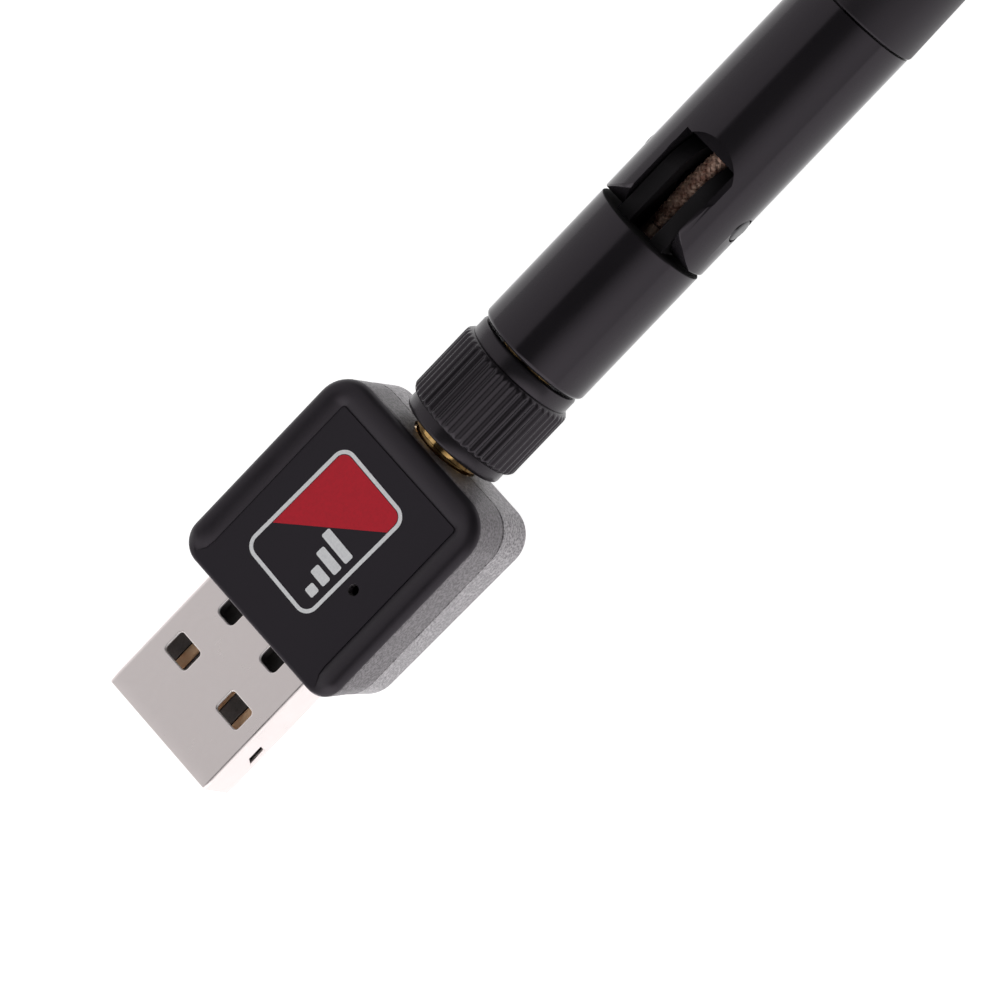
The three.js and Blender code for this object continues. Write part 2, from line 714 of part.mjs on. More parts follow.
// The cable rises a little out of its channel as it crosses the hinge.
const BEND_END = [COAX.bendEnd, -0.3, 0.75];
const BEND_ROUTE = [
  [COAX.bendStart + 0.1, 0, 0],
  [57.5, 0.08, 0.12],
  [59.8, 0, 0.55],
  [62.0, -0.2, 0.85],
  [BEND_END[0] - 0.1, BEND_END[1], BEND_END[2]],
];
const UPPER_ROUTE = [
  [BEND_END[0] + 0.1, BEND_END[1], BEND_END[2]],
  [67.5, -0.15, 0.4],
  [72.0, 0, 0],
  [80.0, 0, 0],
  [95.0, 0, 0],
  [COAX.end, 0, 0],
];

// ---- Scene graph --------------------------------------------------------------------------------

function piece(name, body, material) {
  const mesh = new THREE.Mesh(geometryOf(body), material);
  mesh.name = name;
  return mesh;
}

function group(...children) {
  return new THREE.Group().add(...children);
}

const plug = group(
  piece("usb_shell", usbShell(), nickel),
  piece("usb_tongue", usbTongue(), insulatorBlack),
  ...CONTACT_Y.map((y, i) => piece(`usb_contact_${i + 1}`, usbContact(y), gold)),
);

const housing = group(
  piece("housing_top", housingTop(), casePlastic),
  piece("housing_bottom", housingBottom(), caseUnderside),
);

const electronics = group(
  piece("circuit_board", circuitBoard(), boardGreen),
  piece("wifi_chip", component(22.3, -0.6, 5.0, 5.0, 0.85), chipBlack),
  piece("crystal", component(22.8, 4.6, 3.2, 2.5, 0.75), canMetal),
  piece("voltage_regulator", component(19.9, 3.9, 1.6, 2.9, 1.1), chipBlack),
  piece("power_inductor", component(26.3, 5.1, 2.5, 2.5, 1.2), ceramic),
  piece("input_capacitor", component(22.3, -5.2, 2.0, 1.25, 1.0), ceramic),
  piece("antenna_filter", component(25.15, 0, 0.4, 0.8, 0.4), ceramic),
  piece("status_led", component(LED_HOLE.x, LED_HOLE.y, 0.8, 1.6, 0.6), ledLens),
);

const jack = group(
  piece("jack_body", jackBody(), gold),
  piece("jack_insulator", tube(JACK.start + 0.5, JACK.seat - 0.05, PIN_RADIUS + 0.05, 2.0), ptfe),
  piece("jack_contact", jackContact(), gold),
);

const nut = group(
  piece("coupling_nut", couplingNut(), glossBlack),
  piece("nut_thread_insert", threadInsert(), brass),
);

const connector = group(
  piece("connector_body", coreBody(), gold),
  piece("connector_insulator", coreInsulator(), ptfe),
  piece("connector_contact", coreContact(), gold),
  piece("connector_gasket", tube(JACK.end + 0.08, CORE.flangeStart - 0.06, 2.35, 2.92), silicone),
  piece("retaining_clip", retainingClip(), steel),
);

const barrel = group(
  piece("base_barrel", baseBarrel(), glossBlack),
  piece("coax_lower", rod(COAX.start, COAX.bendStart, COAX_RADIUS, 16), copperBraid),
);

const whip = group(
  piece("hinge_fork", hingeFork(), glossBlack),
  piece("hinge_pin_left", hingePin(1), steel),
  piece("hinge_pin_right", hingePin(-1), steel),
  piece("coax_bend", cable(BEND_ROUTE, COAX_RADIUS, 10), copperBraid),
  piece("coax_upper", cable(UPPER_ROUTE, COAX_RADIUS, 24), copperBraid),
  piece("choke_sleeve", chokeSleeve(), brass),
  piece("radiator", rod(RADIATOR.start, RADIATOR.end, RADIATOR.radius, 12), brass),
  piece("radome", radome(), glossBlack),
);

const antenna = group(barrel, whip);
antenna.rotation.x = ANTENNA_ROLL;

const adapter = group(plug, housing, electronics, jack, nut, connector, antenna);
adapter.position.set(-LENGTH / 2, 0, KNURL.crest);

export default adapter;
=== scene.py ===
"""USB wifi adapter with a screw-on whip antenna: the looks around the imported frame.

Lengths in the shape functions are in millimetres along the object from the tip of the plug (x) and
from the common axis of plug, jack and antenna (y, z). place() turns them into the row frame.
"""

import json
import math

import bmesh
import bpy
from mathutils import Matrix, Vector


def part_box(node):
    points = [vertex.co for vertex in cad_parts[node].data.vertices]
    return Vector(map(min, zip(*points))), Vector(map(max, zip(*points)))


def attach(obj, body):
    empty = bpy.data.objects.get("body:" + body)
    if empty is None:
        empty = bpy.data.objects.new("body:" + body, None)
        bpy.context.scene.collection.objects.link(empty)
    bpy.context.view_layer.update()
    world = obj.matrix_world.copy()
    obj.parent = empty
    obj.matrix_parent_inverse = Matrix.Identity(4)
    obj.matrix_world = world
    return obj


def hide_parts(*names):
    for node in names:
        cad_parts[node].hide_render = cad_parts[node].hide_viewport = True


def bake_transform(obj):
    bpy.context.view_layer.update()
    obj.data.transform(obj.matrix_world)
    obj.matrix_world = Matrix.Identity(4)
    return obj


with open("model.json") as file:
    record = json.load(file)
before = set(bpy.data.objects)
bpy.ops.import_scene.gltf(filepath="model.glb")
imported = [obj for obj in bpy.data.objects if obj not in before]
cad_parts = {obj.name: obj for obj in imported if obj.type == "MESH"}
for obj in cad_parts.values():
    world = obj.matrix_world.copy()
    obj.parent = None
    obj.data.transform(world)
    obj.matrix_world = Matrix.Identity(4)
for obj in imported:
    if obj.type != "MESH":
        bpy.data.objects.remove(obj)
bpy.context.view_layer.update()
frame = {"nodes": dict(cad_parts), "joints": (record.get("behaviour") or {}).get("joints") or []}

# ---- Frame --------------------------------------------------------------------------------------

MM = 0.001
PLUG_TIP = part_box("usb_shell")[0].x
AXIS_HEIGHT = (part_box("jack_contact")[0].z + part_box("jack_contact")[1].z) / 2
TILT = next(joint for joint in frame["joints"] if joint["name"] == "antenna_tilt")
ROLL = math.atan2(-TILT["axis"][2], -TILT["axis"][1])  # how far the stored antenna is swivelled
HINGE_X = (TILT["pos_m"][0] - PLUG_TIP) / MM


def place(x, y, z):
    """A point of the object, in millimetres, in the row frame."""
    return Vector((PLUG_TIP + x * MM, y * MM, AXIS_HEIGHT + z * MM))


PLACE = Matrix.Translation((PLUG_TIP, 0, AXIS_HEIGHT)) @ Matrix.Scale(MM, 4)
ANTENNA = PLACE @ Matrix.Rotation(ROLL, 4, "X")  # for pieces of the swivelled antenna

# ---- Mesh helpers -------------------------------------------------------------------------------


def new_piece(name, verts, faces, transform=PLACE, sharp=35):
    """A mesh object in the row frame with smooth faces and edges kept sharp past an angle."""
    mesh = bpy.data.meshes.new(name)
    mesh.from_pydata([tuple(v) for v in verts], [], faces)
    mesh.transform(transform)
    mesh.validate()
    obj = bpy.data.objects.new(name, mesh)
    bpy.context.scene.collection.objects.link(obj)
    outward(obj)
    shade(obj, sharp)
    return obj


def outward(obj):
    """Turns every face to look out of its closed body."""
    bm = bmesh.new()
    bm.from_mesh(obj.data)
    bmesh.ops.recalc_face_normals(bm, faces=bm.faces)
    bm.to_mesh(obj.data)
    bm.free()


def shade(obj, sharp=35):
    mesh = obj.data
    mesh.polygons.foreach_set("use_smooth", [True] * len(mesh.polygons))
    mesh.set_sharp_from_angle(angle=math.radians(sharp))
    mesh.update()


def skin(loops, closed=False):
    """Vertices and faces over loops of equal length. closed joins the last loop to the first."""
    count = len(loops[0])
    verts = [point for loop in loops for point in loop]
    faces = []
    for level in range(len(loops) if closed else len(loops) - 1):
        low = level * count
        high = (level + 1) % len(loops) * count
        for i in range(count):
            after = (i + 1) % count
            faces.append((low + i, low + after, high + after, high + i))
    if not closed:
        faces.append(tuple(range(count))[::-1])
        faces.append(tuple(range((len(loops) - 1) * count, len(loops) * count)))
    return verts, faces


def ring(x, radius, count, bump=None):
    """A ring about the axis at x. bump(angle) is added to the radius."""
    points = []
    for i in range(count):
        angle = 2 * math.pi * i / count
        reach = radius + (bump(angle) if bump else 0)
        points.append((x, -reach * math.sin(angle), reach * math.cos(angle)))
    return points


def turned(name, profile, count=128, transform=PLACE, sharp=35):
    """A body turned about the axis from a closed list of (x, radius). Radius 0 closes it."""
    core = 1e-4
    loops = [ring(x, max(radius, core), count) for x, radius in profile]
    solid_ends = profile[0][1] == 0 and profile[-1][1] == 0
    verts, faces = skin(loops, closed=not solid_ends)
    obj = new_piece(name, verts, faces, transform, sharp)
    if solid_ends:
        close_ends(obj)
        shade(obj, sharp)
    return obj


def close_ends(obj):
    bm = bmesh.new()
    bm.from_mesh(obj.data)
    bmesh.ops.remove_doubles(bm, verts=bm.verts, dist=5e-7)
    bm.to_mesh(obj.data)
    bm.free()


def arc(centre, radius, start, end, steps):
    """Points (x, r) of an arc in the profile plane, angles in degrees from the +x direction."""
    points = []
    for i in range(steps + 1):
        angle = math.radians(start + (end - start) * i / steps)
        points.append((centre[0] + radius * math.cos(angle), centre[1] + radius * math.sin(angle)))
    return points


def rounded_loop(half_a, half_b, radius, steps=8):
    """A rounded rectangle in a plane, counter-clockwise, as (a, b) pairs."""
    points = []
    corners = ((1, 1, 0), (-1, 1, 90), (-1, -1, 180), (1, -1, 270))
    for sign_a, sign_b, start in corners:
        for i in range(steps + 1):
            angle = math.radians(start + 90 * i / steps)
            points.append((
                sign_a * (half_a - radius) + radius * math.cos(angle),
                sign_b * (half_b - radius) + radius * math.sin(angle),
            ))
    return points


def block(low, high, radius=0.0, axis=0, steps=6, transform=PLACE, name="tool"):
    """A box between two corners, with its four edges along one axis rounded."""
    a, b = [i for i in range(3) if i != axis]
    half = [(high[i] - low[i]) / 2 for i in range(3)]
    mid = [(high[i] + low[i]) / 2 for i in range(3)]
    loops = []
    for end in (low[axis], high[axis]):
        loop = []
        for u, v in rounded_loop(half[a], half[b], max(radius, 1e-3), steps):
            point = [0, 0, 0]
            point[axis] = end
            point[a] = mid[a] + u
            point[b] = mid[b] + v
            loop.append(point)
        loops.append(loop)
    verts, faces = skin(loops)
    return new_piece(name, verts, faces, transform)


def drum(centre, axis, start, end, radius, count=64, transform=PLACE, name="tool"):
    """A cylinder about a line along one axis, between two stations on it."""
    a, b = [i for i in range(3) if i != axis]
    loops = []
    for station in (start, end):
        loop = []
        for i in range(count):
            angle = 2 * math.pi * i / count
            point = list(centre)
            point[axis] = station
            point[a] += radius * math.cos(angle)
            point[b] += radius * math.sin(angle)
            loop.append(point)
        loops.append(loop)
    verts, faces = skin(loops)
    return new_piece(name, verts, faces, transform)


def plate(outline, y0, y1, transform=PLACE, name="tool"):
    """A side outline of (x, z) points, drawn across the axis between two widths."""
    loops = [[(x, y, z) for x, z in outline] for y in (y0, y1)]
    verts, faces = skin(loops)
    return new_piece(name, verts, faces, transform)


def combine(obj, tool, operation="DIFFERENCE"):
    """Cuts or joins with another closed mesh and removes that mesh."""
    modifier = obj.modifiers.new("cut", "BOOLEAN")
    modifier.operation = operation
    modifier.solver = "EXACT"
    modifier.object = tool
    settle(obj)
    bpy.data.objects.remove(tool)
    return obj


def settle(obj):
    """Applies every modifier to the mesh."""
    bpy.context.view_layer.update()
    evaluated = obj.evaluated_get(bpy.context.evaluated_depsgraph_get())
    mesh = bpy.data.meshes.new_from_object(evaluated)
    obj.modifiers.clear()
    obj.data = mesh
    return obj


def soften(obj, width, segments=2, angle=32, sharp=35, clamp=True):
    """Rounds every edge that turns more than an angle, by a width in millimetres."""
    bm = bmesh.new()
    bm.from_mesh(obj.data)
    bmesh.ops.remove_doubles(bm, verts=bm.verts, dist=1e-6)
    bmesh.ops.dissolve_limit(
        bm, angle_limit=math.radians(0.3), verts=bm.verts, edges=bm.edges
    )
    bm.to_mesh(obj.data)
    bm.free()
    modifier = obj.modifiers.new("round", "BEVEL")
    modifier.width = width * MM
    modifier.segments = segments
    modifier.limit_method = "ANGLE"
    modifier.angle_limit = math.radians(angle)
    modifier.use_clamp_overlap = clamp
    settle(obj)
    shade(obj, sharp)
    return obj


def even_normals(obj):
    """Lets the larger faces set the shading, so that flats stay flat beside rounded edges."""
    modifier = obj.modifiers.new("weights", "WEIGHTED_NORMAL")
    modifier.weight = 90
    modifier.keep_sharp = True
    return settle(obj)


def finish_piece(obj, body, slot, material, *nodes):
    """Gives a piece its material, the body that carries it and the CAD nodes it stands for."""
    even_normals(obj)
    if material is not None:
        obj.data.materials.clear()
        obj.data.materials.append(material)
    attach(obj, body)
    if nodes:
        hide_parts(*nodes)
    return obj

# ---- Materials ----------------------------------------------------------------------------------


class Recipe:
    """A small node graph round one Principled shader."""

    def __init__(self, name, color, roughness, metallic=0.0, specular=0.5, sheen=(1, 1, 1)):
        self.material = bpy.data.materials.new(name)
        self.material.use_nodes = True
        self.tree = self.material.node_tree
        self.tree.nodes.clear()
        self.output = self.node("ShaderNodeOutputMaterial")
        self.shader = self.node("ShaderNodeBsdfPrincipled")
        self.link(self.shader.outputs[0], self.output.inputs["Surface"])
        self.shader.inputs["Base Color"].default_value = (*color, 1)
        self.shader.inputs["Roughness"].default_value = roughness
        self.shader.inputs["Metallic"].default_value = metallic
        self.shader.inputs["Specular IOR Level"].default_value = specular
        self.shader.inputs["Specular Tint"].default_value = (*sheen, 1)
        self.place = self.node("ShaderNodeTexCoord").outputs["Object"]
        self.height = None

    def node(self, kind, **values):
        made = self.tree.nodes.new(kind)
        for key, value in values.items():
            setattr(made, key, value)
        return made

    def link(self, output, socket):
        self.tree.links.new(output, socket)

    def stretched(self, stretch):
        mapping = self.node("ShaderNodeMapping")
        mapping.inputs["Scale"].default_value = stretch
        self.link(self.place, mapping.inputs["Vector"])
        return mapping.outputs[0]

    def noise(self, size_mm, detail=3.0, stretch=(1, 1, 1), rough=0.55, distort=0.0):
        """Noise whose features are about a size in millimetres."""
        texture = self.node("ShaderNodeTexNoise")
        texture.inputs["Scale"].default_value = 1 / (size_mm * MM)
        texture.inputs["Detail"].default_value = detail
        texture.inputs["Roughness"].default_value = rough
        texture.inputs["Distortion"].default_value = distort
        self.link(self.stretched(stretch), texture.inputs["Vector"])
        return texture.outputs["Fac"]

    def cells(self, size_mm, feature="F1"):
        texture = self.node("ShaderNodeTexVoronoi", feature=feature)
        texture.inputs["Scale"].default_value = 1 / (size_mm * MM)
        self.link(self.place, texture.inputs["Vector"])
        return texture.outputs["Distance"]

    def spread(self, value, low, high, from_low=0.3, from_high=0.7):
        """A value from one range to another, held inside the second."""
        mapped = self.node("ShaderNodeMapRange", clamp=True)
        mapped.inputs["From Min"].default_value = from_low
        mapped.inputs["From Max"].default_value = from_high
        mapped.inputs["To Min"].default_value = low
        mapped.inputs["To Max"].default_value = high
        self.link(value, mapped.inputs["Value"])
        return mapped.outputs[0]

    def maths(self, operation, a, b):
        made = self.node("ShaderNodeMath", operation=operation)
        for socket, value in zip(made.inputs, (a, b)):
            if isinstance(value, (int, float)):
                socket.default_value = value
            else:
                self.link(value, socket)
        return made.outputs[0]

    def tint(self, value, low_color, high_color, from_low=0.3, from_high=0.7):
        """Base colour between two colours."""
        ramp = self.node("ShaderNodeValToRGB")
        ramp.color_ramp.elements[0].position = from_low
        ramp.color_ramp.elements[0].color = (*low_color, 1)
        ramp.color_ramp.elements[1].position = from_high
        ramp.color_ramp.elements[1].color = (*high_color, 1)
        self.link(value, ramp.inputs[0])
        self.link(ramp.outputs[0], self.shader.inputs["Base Color"])
        return ramp.outputs[0]

    def vary_roughness(self, value, low, high, from_low=0.3, from_high=0.7):
        self.link(self.spread(value, low, high, from_low, from_high), self.shader.inputs["Roughness"])

    def bump(self, value, depth_mm, strength=1.0):
        """Adds a bump of a depth in millimetres over those already there."""
        made = self.node("ShaderNodeBump")
        made.inputs["Strength"].default_value = strength
        made.inputs["Distance"].default_value = depth_mm * MM
        self.link(value, made.inputs["Height"])
        if self.height:
            self.link(self.height, made.inputs["Normal"])
        self.height = made.outputs[0]
        self.link(self.height, self.shader.inputs["Normal"])


VIOLET = (1.0, 0.88, 1.0)  # tint of what the black plastics reflect


def nickel_plate():
    """Satin nickel over stamped sheet: fine rolling lines and faint handling smears."""
    recipe = Recipe("nickel_plate", (0.87, 0.795, 0.79), 0.3, metallic=1.0)
    smears = recipe.noise(3.5, detail=4, distort=1.2)
    grain = recipe.noise(0.06, detail=2, stretch=(0.12, 1, 1))
    recipe.tint(smears, (0.84, 0.765, 0.757), (0.9, 0.822, 0.815))
    mixed = recipe.maths("ADD", recipe.maths("MULTIPLY", smears, 0.7), recipe.maths("MULTIPLY", grain, 0.3))
    recipe.vary_roughness(mixed, 0.26, 0.4)
    recipe.bump(grain, 0.002, 0.3)
    recipe.bump(recipe.noise(1.6, detail=2), 0.01, 0.2)
    return recipe.material


def plated_metal(name, dark, light, roughness, size_mm=0.5, metallic=1.0):
    """Turned and plated metal, with faint lathe lines across its axis."""
    recipe = Recipe(name, light, roughness, metallic=metallic)
    patches = recipe.noise(size_mm, detail=3)
    recipe.tint(patches, dark, light)
    lines = recipe.noise(0.05, detail=1, stretch=(1, 0.06, 0.06))
    recipe.vary_roughness(patches, roughness * 0.8, roughness * 1.35)
    recipe.bump(lines, 0.003, 0.4)
    return recipe.material


def case_panel(name="case_panel", color=(0.0115, 0.01, 0.0135), roughness=0.5):
    """Satin moulded plastic of the label panel and its rim."""
    recipe = Recipe(name, color, roughness, specular=0.36, sheen=VIOLET)
    cloud = recipe.noise(4.0, detail=5, distort=0.6)
    fine = recipe.noise(0.12, detail=3)
    recipe.tint(cloud, [0.92 * c for c in color], [1.08 * c for c in color])
    mixed = recipe.maths("ADD", recipe.maths("MULTIPLY", cloud, 0.6), recipe.maths("MULTIPLY", fine, 0.4))
    recipe.vary_roughness(mixed, 0.36, 0.5)
    recipe.bump(fine, 0.0035, 0.5)
    return recipe.material


def case_grain_painted_reflection(name, dark, light, roughness):
    """Spark-eroded texture of the case's sides and underside, in base colours far lighter than the black
    plastic: a painted reflection of the bright floor seen at a grazing angle.
    """
    recipe = Recipe(name, light, roughness, specular=0.22, sheen=VIOLET)
    pits = recipe.cells(0.2)
    grit = recipe.noise(0.12, detail=4, rough=0.75)
    mixed = recipe.maths("ADD", recipe.maths("MULTIPLY", pits, 0.5), recipe.maths("MULTIPLY", grit, 0.6))
    recipe.tint(mixed, dark, light, 0.3, 0.7)
    recipe.vary_roughness(grit, roughness - 0.1, roughness + 0.12)
    recipe.bump(mixed, 0.04, 0.9)
    return recipe.material


def antenna_plastic(name="antenna_plastic", roughness=0.14, color=(0.0185, 0.0165, 0.019)):
    """Semi-gloss black of the barrels and tube, with faint flow lines and rub marks."""
    recipe = Recipe(name, color, roughness, specular=0.36, sheen=VIOLET)
    flow = recipe.noise(2.2, detail=4, stretch=(0.25, 1, 1), distort=0.4)
    rubs = recipe.noise(0.35, detail=5, stretch=(1, 0.5, 0.5), rough=0.7)
    recipe.tint(flow, [0.92 * c for c in color], [1.08 * c for c in color])
    mixed = recipe.maths("ADD", recipe.maths("MULTIPLY", flow, 0.5), recipe.maths("MULTIPLY", rubs, 0.5))
    recipe.vary_roughness(mixed, roughness - 0.03, roughness + 0.05)
    recipe.bump(flow, 0.004, 0.25)
    recipe.bump(recipe.noise(0.08, detail=2), 0.0008, 0.4)
    return recipe.material


def moulded(name, color, roughness, grain_mm=0.15, depth_mm=0.006, specular=0.5):
    """Plain moulded plastic, ceramic or rubber with a fine skin."""
    recipe = Recipe(name, color, roughness, specular=specular)
    grain = recipe.noise(grain_mm, detail=4)
    recipe.tint(grain, tuple(c * 0.85 for c in color), tuple(min(1, c * 1.12) for c in color))
    recipe.vary_roughness(grain, roughness - 0.06, roughness + 0.1)
    recipe.bump(grain, depth_mm, 0.6)
    return recipe.material


def board_mask():
    """Green solder mask with the raised lines of the copper tracks under it."""
    recipe = Recipe("board_mask", (0.012, 0.1, 0.035), 0.3)
    tracks = recipe.cells(1.1, feature="DISTANCE_TO_EDGE")
    edge = recipe.spread(tracks, 1, 0, 0.0, 0.1)
    recipe.tint(edge, (0.01, 0.075, 0.026), (0.02, 0.15, 0.05), 0.2, 0.8)
    recipe.vary_roughness(recipe.noise(0.4), 0.24, 0.4)
    recipe.bump(edge, 0.02, 0.5)
    return recipe.material


def braid_wire():
    """Dull copper wire, darker where it has tarnished."""
    recipe = Recipe("braid_wire", (0.6, 0.36, 0.27), 0.42, metallic=0.6)
    tarnish = recipe.noise(0.7, detail=4)
    recipe.tint(tarnish, (0.3, 0.13, 0.09), (0.85, 0.62, 0.5))
    recipe.vary_roughness(recipe.noise(0.12), 0.34, 0.6)
    recipe.bump(recipe.noise(0.06), 0.004, 0.5)
    return recipe.material


def print_ink(name, color, roughness=0.4):
    """A pad-printed ink, slightly uneven in thickness."""
    recipe = Recipe(name, color, roughness, specular=0.3)
    film = recipe.noise(0.25, detail=4, rough=0.7)
    recipe.tint(film, tuple(c * 0.9 for c in color), tuple(min(1, c * 1.06) for c in color))
    recipe.vary_roughness(film, roughness - 0.06, roughness + 0.1)
    recipe.bump(film, 0.003, 0.5)
    return recipe.material


NICKEL = nickel_plate()
# Bare sheared metal of the punched hole walls, made bright and half diffuse; on the holes' rounded rims the
# same finish is a painted highlight.
SHEARED_EDGE_AND_HIGHLIGHT = plated_metal("sheared_edge_painted_highlight", (0.9, 0.86, 0.85), (0.97, 0.93, 0.92), 0.55, 0.2, 0.45)
# Two copies of one gold plating: the jack's gold is darker than the plating's own colour, painted shade of
# its gap between case and nut; the contacts' gold is lighter, pinker and half diffuse, painted light for the
# plug's shaded windows.
GOLD_PAINTED_SHADE = plated_metal("gold_plate", (0.5, 0.3, 0.1), (0.75, 0.5, 0.22), 0.09)
CONTACT_GOLD_PAINTED_LIGHT = plated_metal("contact_gold_painted_light", (0.85, 0.52, 0.3), (0.95, 0.68, 0.44), 0.4, 0.5, 0.6)
BRASS = plated_metal("turned_brass", (0.5, 0.35, 0.15), (0.68, 0.5, 0.24), 0.3)
PIN_STEEL = plated_metal("pin_steel", (0.045, 0.044, 0.047), (0.085, 0.083, 0.087), 0.28)
CAN_METAL = plated_metal("can_metal", (0.5, 0.5, 0.5), (0.64, 0.64, 0.63), 0.32)
PANEL = case_panel()
RIM = case_panel("case_rim", (0.0155, 0.0135, 0.0165), 0.6)
# The case is black plastic: the light base colours of both grains are a painted reflection of the bright
# floor at a grazing angle, painted stronger on the lower shell.
SIDE_GRAIN_PAINTED_REFLECTION = case_grain_painted_reflection("case_side_grain_painted_reflection", (0.03, 0.0275, 0.03), (0.22, 0.202, 0.215), 0.36)
BASE_GRAIN_PAINTED_REFLECTION = case_grain_painted_reflection("case_base_grain_painted_reflection", (0.075, 0.071, 0.075), (0.47, 0.443, 0.463), 0.34)
ANTENNA_BLACK = antenna_plastic(color=(0.0145, 0.0128, 0.015))
TUBE_BLACK = antenna_plastic("tube_plastic", 0.4, (0.014, 0.0125, 0.0145))
NUT_BLACK = antenna_plastic("nut_plastic", 0.24, (0.015, 0.0135, 0.0155))
# The tongue's grey is lighter than its own dark plastic: painted light for the tongue seen in shade through
# the windows.
INSULATOR_PAINTED_LIGHT = moulded("plug_insulator", (0.15, 0.142, 0.14), 0.6, specular=0.3)
END_FACE = moulded("barrel_end", (0.015, 0.0135, 0.015), 0.75, specular=0.15)
PTFE = moulded("ptfe", (0.78, 0.77, 0.73), 0.5)
CHIP = moulded("chip_epoxy", (0.014, 0.014, 0.015), 0.5, 0.05)
CERAMIC = moulded("ceramic", (0.28, 0.19, 0.11), 0.45, 0.08)
SILICONE = moulded("silicone", (0.42, 0.1, 0.05), 0.6)
LENS = moulded("light_lens", (0.72, 0.76, 0.56), 0.2)
BOARD = board_mask()
WIRE = braid_wire()
SILVER_INK = print_ink("silver_ink", (0.93, 0.93, 0.96), 0.45)
RED_INK = print_ink("red_ink", (0.62, 0.012, 0.03), 0.45)

# ---- USB plug -----------------------------------------------------------------------------------

PLUG_HALF_WIDTH = 6.0
PLUG_HALF_HEIGHT = 2.25
SHEET = 0.3
CONTACT_Y = (3.5, 1.0, -1.0, -3.5)
# The bright finish inside these bounds is bare sheared metal on the walls and a painted highlight on the
# rounded rims.
SHEARED = {"front": 4.8, "rear": 10.9, "half": 4.8}  # where the walls of the holes are bare and bright


def plug_loop(x, inset):
    radius = max(0.34 - inset, 0.1)
    flat = rounded_loop(PLUG_HALF_WIDTH - inset, PLUG_HALF_HEIGHT - inset, radius)
    return [(x, y, z) for y, z in flat]


def plug_shell():
    """Bent sheet shell with a rounded tip, two windows, two latch holes and a side slot."""
    end = 17.0
    lip = [(0.1, 0.0), (0.03, 0.03), (0.0, 0.09), (0.0, 0.2), (0.03, 0.27), (0.12, SHEET)]
    stations = [(end, SHEET), (end, 0.0), (1.0, 0.0), (0.5, 0.03)]
    stations += [(x, inset + 0.06) for x, inset in lip] + [(1.0, SHEET)]
    verts, faces = skin([plug_loop(x, inset) for x, inset in stations], closed=True)
    obj = new_piece("plug_shell", verts, faces)
    for side in (-1, 1):
        combine(obj, block((4.97, side * 3.2 - 1.25, -3), (6.97, side * 3.2 + 1.25, 3), 0.32, axis=2))
        combine(obj, block((10.1, side * 2.57 - 0.87, -3), (12.4, side * 2.57 + 0.87, 3), 0.42, axis=2))
    slant = 0.3
    slot = [(3.5 - slant, -1.2), (4.75, -1.2), (5.0, -0.1), (3.75, -0.1)]
    combine(obj, plate(slot, -7, 7))
    for side in (-1, 1):
        ys = sorted((side * (PLUG_HALF_WIDTH - SHEET), side * PLUG_HALF_WIDTH))
        combine(obj, block((16.5, ys[0], -0.3), (18.9, ys[1], 0.6)), "UNION")
    soften(obj, 0.12, 3, 50, clamp=False)
    combine(obj, block((0.5, -0.03, -2.4), (16.5, 0.03, -2.18)))
    shade(obj)
    finish_piece(obj, "case", "plug_shell", NICKEL, "usb_shell")
    obj.data.materials.append(SHEARED_EDGE_AND_HIGHLIGHT)
    front, rear = place(SHEARED["front"], 0, 0).x, place(SHEARED["rear"], 0, 0).x
    half = SHEARED["half"] * MM
    # Walls and steeper rim faces of the holes take the bright finish: sheared metal on the walls, painted
    # highlight on the rims.
    for polygon in obj.data.polygons:
        x, y = polygon.center[:2]
        holed = front < x < rear and abs(y) < half
        if holed and abs(polygon.normal.z) < 0.9:
            polygon.material_index = 1
    return obj


def plug_insulator():
    """The dark tongue and the full block behind it, hollowed under the latch holes."""
    obj = block((0.5, -5.55, -1.9), (10.0, 5.55, -0.05), 0.15, name="plug_insulator")
    combine(obj, block((9.0, -5.55, -1.9), (16.7, 5.55, 1.9), 0.15), "UNION")
    for side in (-1, 1):
        ys = (side * 2.57 - 1.0, side * 2.57 + 1.0)
        combine(obj, block((9.8, ys[0], 0.5), (12.6, ys[1], 3), 0.2, axis=2))
        combine(obj, block((9.8, ys[0], -3), (12.6, ys[1], -0.9), 0.2, axis=2))
    for y in CONTACT_Y:
        combine(obj, block((0.95, y - 0.56, -0.3), (17.0, y + 0.56, 0.08)))
    wedge = [(0.3, -0.35), (0.3, 0.3), (1.0, 0.3), (1.0, -0.03)]
    combine(obj, plate(wedge, -6, 6))
    soften(obj, 0.05, 2)
    return finish_piece(obj, "case", "plug_insulator", INSULATOR_PAINTED_LIGHT, "usb_tongue")


def plug_contact(number, y):
    """A gold strip with a crowned face and a nose that dips into the tongue."""
    loops = []
    half = 0.44
    nose = [(1.08, -0.16), (1.3, -0.08), (1.7, -0.02)]
    for x, top in nose + [(2.4, 0.0), (8.5, 0.0), (12.0, 0.0), (18.5, 0.0)]:
        crown = [(-half, top - 0.2), (half, top - 0.2), (half, top - 0.05), (half - 0.06, top - 0.008)]
        crown += [(0.2, top), (-0.2, top), (0.06 - half, top - 0.008), (-half, top - 0.05)]
        loops.append([(x, y + across, up) for across, up in crown])
    verts, faces = skin(loops)
    obj = new_piece(f"plug_contact_{number}", verts, faces)
    return finish_piece(obj, "case", "gold_plate", CONTACT_GOLD_PAINTED_LIGHT, f"usb_contact_{number}")


# ---- Case ---------------------------------------------------------------------------------------

CASE_FRONT = 11.9
CASE_REAR = 31.5
CASE_HALF = 9.03
PARTING = 0.1
CAVITY = (13.1, 30.1, 7.9, 1.9)  # front, rear, half width and corner radius inside the walls
PANEL_LEVEL = 4.22
PANEL_HALF = 6.84
PANEL_REAR = 28.94
SIDE_TOP = 4.08  # the grain of the sides ends here
LIGHT_HOLE = (19.8, -4.17)
POSTS = [(x, y) for x in (19.4, 26.2) for y in (-5.6, 5.6)]  # they hold the circuit board


def smoothstep(value, low, high):
    t = min(1, max(0, (value - low) / (high - low)))
    return t * t * (3 - 2 * t)


